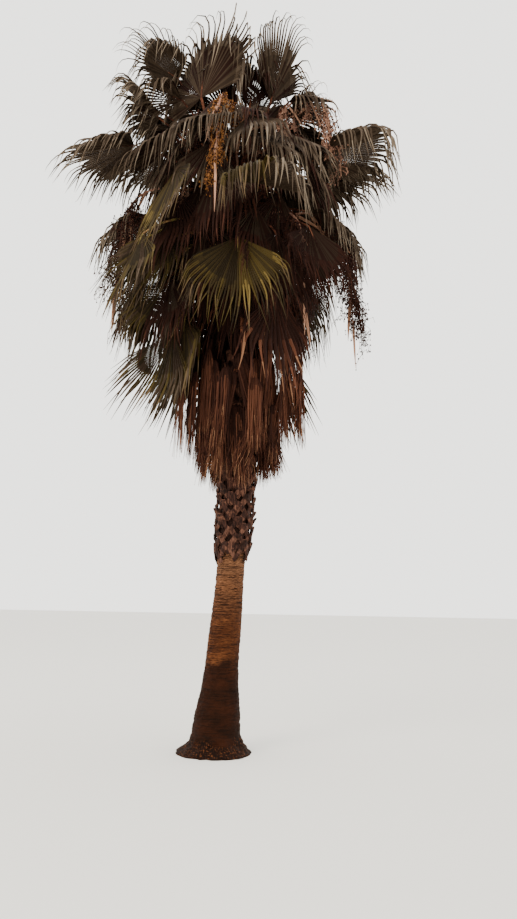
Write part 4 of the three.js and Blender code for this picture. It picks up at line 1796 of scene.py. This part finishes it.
@dataclass(frozen=True)
class Thatch:
    """Old fans that hang inside the crown, between the trunk and the live fronds.

    Most have shaded, shadowed or deep looks: painted shade for the crown's dark inside.

    Attributes:
        rings: The rings, roughly from the top down, and one that fills a gap at the left.
        astray: How far a fan's azimuth may be from its place, in degrees.
        unlike: How far its slopes may be from its ring's, in degrees.
        rolled: How far its blade may be rolled, in degrees.
        stalk: The least and the most of its stalk, as a share of its ring's.
        reach: The same of its reach.
        seed: Which small changes they have.
    """

    rings: tuple[Ring, ...] = (
        Ring(6500, (80, 64, 0), 1300, 1000, 8, Look.GREY, 0, 200),
        Ring(6500, (80, 76, 62), 1050, 850, 5, Look.SHADOWED, 232, 115),
        Ring(6500, (84, 76, 58), 900, 850, 5, Look.SHADOWED, 10, 200),
        Ring(6500, (58, 36, 10), 1400, 820, 4, Look.SHADED, 158, 52),
        Ring(6480, (54, 10, -40), 1000, 900, 5, Look.SHADED, 318, 130),
        Ring(6500, (74, 40, -20), 1300, 1000, 7, Look.SHADED, 335, 225),
        Ring(6490, (70, 30, -40), 1150, 1000, 7, Look.SHADOWED, 80),
        Ring(6450, (84, 58, -10), 820, 850, 7, Look.DEEP, 15),
        Ring(6480, (66, 20, -50), 1100, 1100, 9, Look.SHADED, 275),
        Ring(6440, (50, -8, -66), 900, 1150, 9, Look.SHADOWED, 52),
        Ring(6300, (36, -36, -76), 820, 1150, 9, Look.DEEP, 190),
        Ring(6200, (30, -40, -76), 1050, 1100, 3, Look.DEEP, 200, 70),
        Ring(6050, (20, -54, -82), 740, 1150, 9, Look.DEEP, 327),
        Ring(5900, (12, -50, -70), 1380, 1150, 6, Look.OLIVE, 125, 125),
        Ring(5750, (0, -68, -85), 660, 1150, 8, Look.DEEP, 105),
        Ring(5500, (-14, -76, -82), 1080, 1150, 5, Look.OLIVE, 140, 80),
        Ring(5400, (-10, -76, -87), 560, 1100, 7, Look.DEEP, 242),
        Ring(5350, (0, -74, -86), 830, 1400, 3, Look.SKIRT, 312, 75),
        Ring(5850, (0, -68, -85), 1000, 1150, 3, Look.SHADOWED, 165, 66),
    )
    astray: float = 12
    unlike: float = 7
    rolled: float = 25
    stalk: Range = (0.8, 1.15)
    reach: Range = (0.8, 1.1)
    seed: int = 77

    def add(self, bunch: Bunch, stems: Bunch) -> None:
        """Adds every ring's fans, evenly spaced but for small changes.

        Args:
            bunch: Where the leaflets go.
            stems: Where the stalks go.
        """
        rng = np.random.default_rng(self.seed)
        for number, ring in enumerate(self.rings):
            rows = []
            for k in range(ring.count):
                azimuth = ring.start + ring.arc * k / ring.count
                azimuth = azimuth + rng.uniform(-self.astray, self.astray)
                slopes = [slope + rng.uniform(-self.unlike, self.unlike) for slope in ring.slopes]
                roll = rng.uniform(-self.rolled, self.rolled)
                stalk = ring.stalk * rng.uniform(*self.stalk)
                rows.append((azimuth, *slopes, roll, stalk, ring.reach * rng.uniform(*self.reach)))
            name = f"thatch_{number}"
            tier = replace(OLD_FANS, name=name, fronds=tuple(rows), base=ring.base, look=ring.look)
            for index in range(ring.count):
                frond = Frond(tier, index)
                frond.leaflets(bunch, None)
                frond.stem(stems, toothed=False)


@dataclass(frozen=True)
class FruitKind:
    """How the sprays of one fruit stalk look.

    Attributes:
        twig: The shades of its twigs.
        fruit: The shades of its fruit.
        branches: How many branches it has.
        spread: How long the branches are, as a share of the usual.
        span: The shares of the stalk between which they grow.
        twigs: How many twigs a branch has.
    """

    twig: tuple[Shade, ...] = (Shade.TWIG, Shade.TWIG, Shade.RUST)
    fruit: tuple[Shade, ...] = (Shade.FRUIT, Shade.FRUIT, Shade.TWIG)
    branches: int = 22
    spread: float = 1.0
    span: Range = (0.36, 0.98)
    twigs: int = 22


RIPE = FruitKind()
HEAVY = FruitKind(branches=40, spread=1.3, span=(0.14, 0.88))
FLOWERING = FruitKind(
    twig=(Shade.TWIG_ORANGE, Shade.TWIG_ORANGE, Shade.TWIG),
    fruit=(Shade.FRUIT_ORANGE, Shade.TWIG_ORANGE, Shade.TWIG),
    branches=26,
    spread=0.55,
)
PINK = FruitKind(
    twig=(Shade.TWIG_PINK, Shade.TWIG_PINK, Shade.BRACT),
    fruit=(Shade.TWIG, Shade.TWIG_PINK, Shade.BRACT),
    branches=26,
)

# A drop's corners about its middle, narrower at its upper end, and its faces.
DROP = np.array(
    [
        [x * (1 - 0.3 * z), y * (1 - 0.3 * z), 1.3 * z]
        for x in (-1, 1)
        for y in (-1, 1)
        for z in (-1, 1)
    ]
)
DROP_FACES = np.array(
    [[0, 1, 3, 2], [4, 6, 7, 5], [0, 4, 5, 1], [2, 3, 7, 6], [0, 2, 6, 4], [1, 5, 7, 3]]
)


@dataclass(frozen=True)
class FruitStalk:
    """One fruit stalk: it arches out and hangs, with branches along its outer part.

    Attributes:
        azimuth: The way that it sets off, in degrees.
        rise: Its slope at the trunk, in degrees.
        base: Height of its foot, in millimetres.
        length: Its length, in millimetres.
        bend: The share of its length where it starts to bend down.
        kind: How its sprays look.
        steps: How many steps its line has.
        hidden: How many of them are inside the trunk.
        branch_steps: How many steps a branch has.
        branch_length: The least and the most of a branch's length.
        twig_length: The same of a twig's.
        fruit_size: The same of half a fruit's width.
        fruits: How many fruits a twig has.
        sheaths: How many papery sheaths the stalk has.
    """

    azimuth: float
    rise: float
    base: float
    length: float
    bend: float
    kind: FruitKind = RIPE
    steps: int = 48
    hidden: int = 4
    branch_steps: int = 6
    branch_length: Range = (0.28, 0.60)
    twig_length: Range = (0.07, 0.2)
    fruit_size: Range = (0.0035, 0.0065)
    fruits: int = 3
    sheaths: int = 8

    def path(
        self, start: np.ndarray, way: np.ndarray, length: np.ndarray, bends: Range, steps: int
    ) -> tuple[np.ndarray, np.ndarray]:
        """Returns lines that set off along a way and bend down to hang.

        Args:
            start: Where they start, (lines, 3).
            way: Unit vectors of how they set off.
            length: Their lengths.
            bends: The shares of the length where they start and stop to bend.
            steps: How many steps they have.

        Returns:
            Points and headings, (steps + 1, lines, 3). A heading is the way turned about
            way × down by 0.97 of its angle to straight down, times a smooth step.
        """
        axis = unit(np.cross(way, DOWN + np.array([1e-4, 0, 0])))
        turn = 0.97 * np.arccos(np.clip(way @ DOWN, -1, 1))
        share = (np.arange(steps + 1) / steps)[:, None]
        angle = (turn * smooth(*bends, share))[..., None]
        shape = (steps + 1, *way.shape)
        heading = turned(np.broadcast_to(way, shape), np.broadcast_to(axis, shape), angle)
        return walked(start, heading, length / steps), heading

    def tube(
        self, bunch: Bunch, points: np.ndarray, heading: np.ndarray, ends: Range, shades: np.ndarray
    ) -> None:
        """Adds thin four-sided tubes.

        Args:
            bunch: Where they go.
            points: Their middle lines, (rings, tubes, 3).
            heading: Their headings.
            ends: Their radius at the start and at the end.
            shades: One shade number for each tube.
        """
        rings, count = points.shape[:2]
        thick = np.broadcast_to(np.linspace(*ends, rings)[:, None], (rings, count))
        across = unit(np.cross(heading, UP + np.array([0.31, 0.17, 0.0])))
        sides = boxed(points, across, np.cross(heading, across), thick, thick)
        bunch.add(sides, np.repeat(shades[None], rings - 1, axis=0))

    def build(self, twigs: Bunch, fruit: Bunch, bracts: Bunch, seed: int) -> None:
        """Adds the stalk with all that is on it.

        Args:
            twigs: Where the stalk and its twigs go.
            fruit: Where the fruit goes.
            bracts: Where the papery sheaths go.
            seed: Which small changes it has.
        """
        rng = np.random.default_rng([7, seed])
        out, side = compass(math.radians(self.azimuth))
        slope = math.radians(self.rise)
        way = out * math.cos(slope) + UP * math.sin(slope)
        start, length = TRUNK.centre(self.base * MM), np.array([self.length * MM])
        bends = (self.bend, self.bend + 0.45)
        points, heading = self.path(start, way[None], length, bends, self.steps)
        seen = slice(self.hidden, None)
        thick = (taper(self.hidden / self.steps, (0.022, 0.007)), 0.007)
        self.tube(twigs, points[seen], heading[seen], thick, numbered([Shade.TWIG_PINK]))
        branch = self.branches(twigs, points[:, 0], out, side, rng)
        twig = self.twigs(twigs, branch, rng)
        self.berries(fruit, twig, rng)
        self.hang_sheaths(bracts, points[:, 0], heading[:, 0], rng)

    def branches(
        self,
        twigs: Bunch,
        line: np.ndarray,
        out: np.ndarray,
        side: np.ndarray,
        rng: np.random.Generator,
    ) -> np.ndarray:
        """Adds the branches, which set off downwards and bend to hang.

        Args:
            twigs: Where they go.
            line: The stalk's line.
            out: The unit vector outwards.
            side: The unit vector sideways.
            rng: The stalk's random numbers.

        Returns:
            Their lines, (points, branches, 3).
        """
        count = self.kind.branches
        spot = (np.sort(rng.uniform(*self.kind.span, count)) * self.steps).astype(int)
        lean = rng.normal(0, 1.0, count)[:, None] * 0.55
        drop = rng.uniform(-1.0, -0.35, count)[:, None]
        off = unit(side * lean + UP * drop + out * rng.uniform(-0.25, 0.5, count)[:, None])
        length = self.kind.spread * rng.uniform(*self.branch_length, count)
        branch, aim = self.path(line[spot], off, length, (0.0, 0.55), self.branch_steps)
        shades = rng.choice(numbered(self.kind.twig), count)
        self.tube(twigs, branch, aim, (0.007, 0.0035), shades)
        return branch

    def twigs(self, twigs: Bunch, branch: np.ndarray, rng: np.random.Generator) -> np.ndarray:
        """Adds the twigs, which set off every way and bend a little down.

        Args:
            twigs: Where they go.
            branch: The branches' lines.
            rng: The stalk's random numbers.

        Returns:
            Their lines, (points, twigs, 3).
        """
        kind = self.kind
        total = kind.branches * kind.twigs
        owner = np.repeat(np.arange(kind.branches), kind.twigs)
        along = rng.uniform(0.12, 1.0, total) * self.branch_steps
        step = np.minimum(along.astype(int), self.branch_steps - 1)
        part = (along - step)[:, None]
        root = branch[step, owner] * (1 - part) + branch[step + 1, owner] * part
        wild = unit(rng.normal(0, 1, (total, 3)) + DOWN * 0.5)
        length = math.sqrt(kind.spread) * rng.uniform(*self.twig_length, total)
        twig, aim = self.path(root, wild, length, (0.1, 0.8), 3)
        self.tube(twigs, twig, aim, (0.0032, 0.0018), rng.choice(numbered(kind.twig), total))
        return twig

    def berries(self, fruit: Bunch, twig: np.ndarray, rng: np.random.Generator) -> None:
        """Adds small fruit along the twigs, each a drop with four sides.

        Args:
            fruit: Where they go.
            twig: The twigs' lines.
            rng: The stalk's random numbers.
        """
        owner = np.repeat(np.arange(twig.shape[1]), self.fruits)
        total = len(owner)
        step = rng.integers(1, len(twig), total)
        middle = twig[step, owner] + rng.normal(0, 0.008, (total, 3))
        size = rng.uniform(*self.fruit_size, total)[:, None, None]
        shades = rng.choice(numbered(self.kind.fruit), total)
        fruit.solids(middle[:, None] + DROP[None] * size, DROP_FACES, shades)

    def hang_sheaths(
        self, bracts: Bunch, line: np.ndarray, heading: np.ndarray, rng: np.random.Generator
    ) -> None:
        """Adds the long papery sheaths that hang at the stalk's joints.

        Args:
            bracts: Where they go.
            line: The stalk's line.
            heading: The stalk's headings.
            rng: The stalk's random numbers.
        """
        count = self.sheaths
        spot = np.linspace(12, self.steps - 2, count).astype(int)
        share = np.linspace(0, 1, 8)[:, None]
        length = rng.uniform(0.3, 0.62, count)
        lead = unit(heading[spot] * 0.7 + DOWN * 0.8 + rng.normal(0, 0.18, (count, 3)))
        points = line[spot] + lead * (share * length)[..., None]
        points = points + DOWN * (0.1 * share**2)[..., None]
        forward = unit(np.gradient(points, axis=0))
        across = rng.normal(0, 1, (count, 3))
        across = unit(np.cross(forward, np.broadcast_to(across, forward.shape)))
        half = np.interp(share, [0, 0.25, 0.7, 1], [0.6, 1, 0.7, 0.06])
        half = half * rng.uniform(0.016, 0.028, count)
        rings = folded(points, across, -np.cross(across, forward), half, 1.1, 0.003)
        bracts.add(rings, np.repeat(numbered([Shade.BRACT] * count)[None], 7, axis=0))


FRUIT_STALKS: tuple[FruitStalk, ...] = (
    FruitStalk(183, 26, 6160, 2900, 0.2, HEAVY),
    FruitStalk(256, 68, 6270, 2700, 0.26, FLOWERING),
    FruitStalk(334, 66, 6300, 2600, 0.4, PINK),
    FruitStalk(6, 22, 6030, 2700, 0.2, HEAVY),
    FruitStalk(116, 46, 6300, 2500, 0.15),
    FruitStalk(48, 30, 6250, 2400, 0.15),
    FruitStalk(215, 78, 6390, 2300, 0.3),
)

# A spray among those of the fourth stalk, which the solids leave out.
INNER_SPRAY = FruitStalk(332, 20, 6000, 2000, 0.1, HEAVY)


@dataclass(frozen=True)
class Stage:
    """The floor, the light and the camera.

    Attributes:
        eye: Where the camera is.
        pitch: How far it looks up, in degrees.
        roll: How far it is turned about its own line of sight, in degrees.
        lens: Its focal length, in millimetres, on a sensor 36 mm tall.
    """

    eye: tuple[float, float, float] = (0.417, -7.57, 1.6)
    pitch: float = 11.55
    roll: float = 1.04
    lens: float = 26.44

    def camera(self) -> None:
        """Adds the camera: its axes are turned by roll about the line of sight."""
        pitch, roll = math.radians(self.pitch), math.radians(self.roll)
        forward = Vector((0, math.cos(pitch), math.sin(pitch)))
        flat_up = Vector((0, -math.sin(pitch), math.cos(pitch)))
        flat_right = Vector((1, 0, 0))
        right = math.cos(roll) * flat_right + math.sin(roll) * flat_up
        up = math.cos(roll) * flat_up - math.sin(roll) * flat_right
        data = bpy.data.cameras.new("camera")
        data.lens = self.lens
        data.sensor_width = 36
        data.sensor_fit = "AUTO"
        data.clip_end = 200
        camera = placed("camera", data)
        turn = Matrix((right, up, -forward)).transposed().to_4x4()
        camera.matrix_world = Matrix.Translation(self.eye) @ turn
        bpy.context.scene.camera = camera

    def floor(self) -> None:
        """Adds the plain pale floor, a hair below the trunk's cut."""
        mesh = bpy.data.meshes.new("floor")
        far, low = 60.0, -0.001
        corners = [(-far, -far, low), (far, -far, low), (far, far, low), (-far, far, low)]
        mesh.from_pydata(corners, [], [(0, 1, 2, 3)])
        mesh.materials.append(Plain((0.86, 0.85, 0.83), 0.9).build("floor"))
        placed("floor", mesh)

    def light(self) -> None:
        """Adds a pale sky, a broad soft light from the left in front and one from above."""
        world = bpy.data.worlds.new("sky")
        world.use_nodes = True
        sky = world.node_tree.nodes["Background"]
        sky.inputs["Color"].default_value = linear((0.91, 0.905, 0.885))
        sky.inputs["Strength"].default_value = 3.3
        bpy.context.scene.world = world
        for name, place, aim, size, power, colour in (
            ("key", (-7.0, -7.5, 12.0), (0, 0, 4.0), 5.0, 1000.0, (1.0, 0.92, 0.80)),
            ("top", (3.0, 3.0, 16.0), (0, 0, 6.0), 7.0, 500.0, (1.0, 0.96, 0.90)),
        ):
            data = bpy.data.lights.new(name, "AREA")
            data.size = size
            data.energy = power
            data.color = colour
            lamp = placed(name, data)
            lamp.location = place
            way = Vector(aim) - Vector(place)
            lamp.rotation_euler = way.to_track_quat("-Z", "Y").to_euler()

    def build(self) -> None:
        """Adds all three."""
        self.camera()
        self.floor()
        self.light()


class Palm:
    """The whole tree: which piece stands for which nodes."""

    def __init__(self) -> None:
        """Makes the plain materials, in the order of their numbers."""
        self.paints = [shade.value.build(f"leaf_{shade.name.lower()}") for shade in SHADES]

    def hand_over(self, piece: bpy.types.Object, nodes: Sequence[str] = ()) -> None:
        """Ties a piece to the body, hides the nodes that it stands for, and logs its faces.

        Args:
            piece: The piece.
            nodes: The nodes' names.
        """
        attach(piece, "root")
        if nodes:
            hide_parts(*nodes)
        log.info("%s: %d faces, for %d nodes", piece.name, len(piece.data.polygons), len(nodes))

    def trunk(self) -> None:
        """Makes the bark and the collar of leaf bases."""
        self.hand_over(TrunkSkin().build(BarkFinish().build()), ["trunk"])
        browns = [
            StreakFinish("leaf_base", (0.110, 0.062, 0.048), (0.235, 0.142, 0.110)).build(),
            StreakFinish("leaf_base_edge", (0.200, 0.118, 0.090), (0.37, 0.245, 0.190)).build(),
        ]
        self.hand_over(LeafBases().build(browns))

    def crown(self) -> None:
        """Makes every tier's leaflets as a piece, the old fans as one, and all stalks as one."""
        stems = Bunch("frond_stalks")
        skirts = {
            "dead_outer": Skirt(),
            "dead_inner": Skirt(away=(-0.02, 0.22), shorter=0.28, seed=41),
        }
        for tier in TIERS:
            fronds = [Frond(tier, index) for index in range(len(tier.fronds))]
            bunch = Bunch(f"{tier.name}_leaflets")
            dead = tier.name in skirts
            for frond in fronds:
                if not dead:
                    frond.leaflets(bunch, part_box(frond.name))
                frond.stem(stems)
            if dead:
                skirts[tier.name].add(bunch, fronds)
            self.hand_over(bunch.build(self.paints), [frond.name for frond in fronds])
        thatch = Bunch("thatch_leaflets")
        Thatch().add(thatch, stems)
        self.hand_over(thatch.build(self.paints))
        browns = [
            StreakFinish("stalk_brown", (0.16, 0.09, 0.07), (0.30, 0.17, 0.12)).build(),
            StreakFinish("stalk_rust", (0.26, 0.14, 0.10), (0.43, 0.26, 0.18)).build(),
            StreakFinish("stalk_olive", (0.24, 0.20, 0.11), (0.42, 0.36, 0.19)).build(),
            StreakFinish("stalk_tan", (0.33, 0.24, 0.15), (0.52, 0.40, 0.26)).build(),
        ]
        self.hand_over(stems.build(browns))

    def fruit(self) -> None:
        """Makes the twigs, the fruit and the sheaths, each kind as one piece."""
        twigs, fruit, bracts = Bunch("fruit_twigs"), Bunch("small_fruit"), Bunch("fruit_sheaths")
        for seed, stalk in enumerate((*FRUIT_STALKS, INNER_SPRAY)):
            stalk.build(twigs, fruit, bracts, seed)
        names = [f"fruit_stalk_{n + 1}" for n in range(len(FRUIT_STALKS))]
        self.hand_over(twigs.build(self.paints), names)
        self.hand_over(fruit.build(self.paints))
        self.hand_over(bracts.build(self.paints))


def main() -> None:
    """Builds the scene on the frame."""
    logging.basicConfig(level=logging.INFO, format="%(name)s: %(message)s")
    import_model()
    palm = Palm()
    palm.trunk()
    palm.crown()
    palm.fruit()
    Stage().build()


if __name__ == "__main__":
    main()
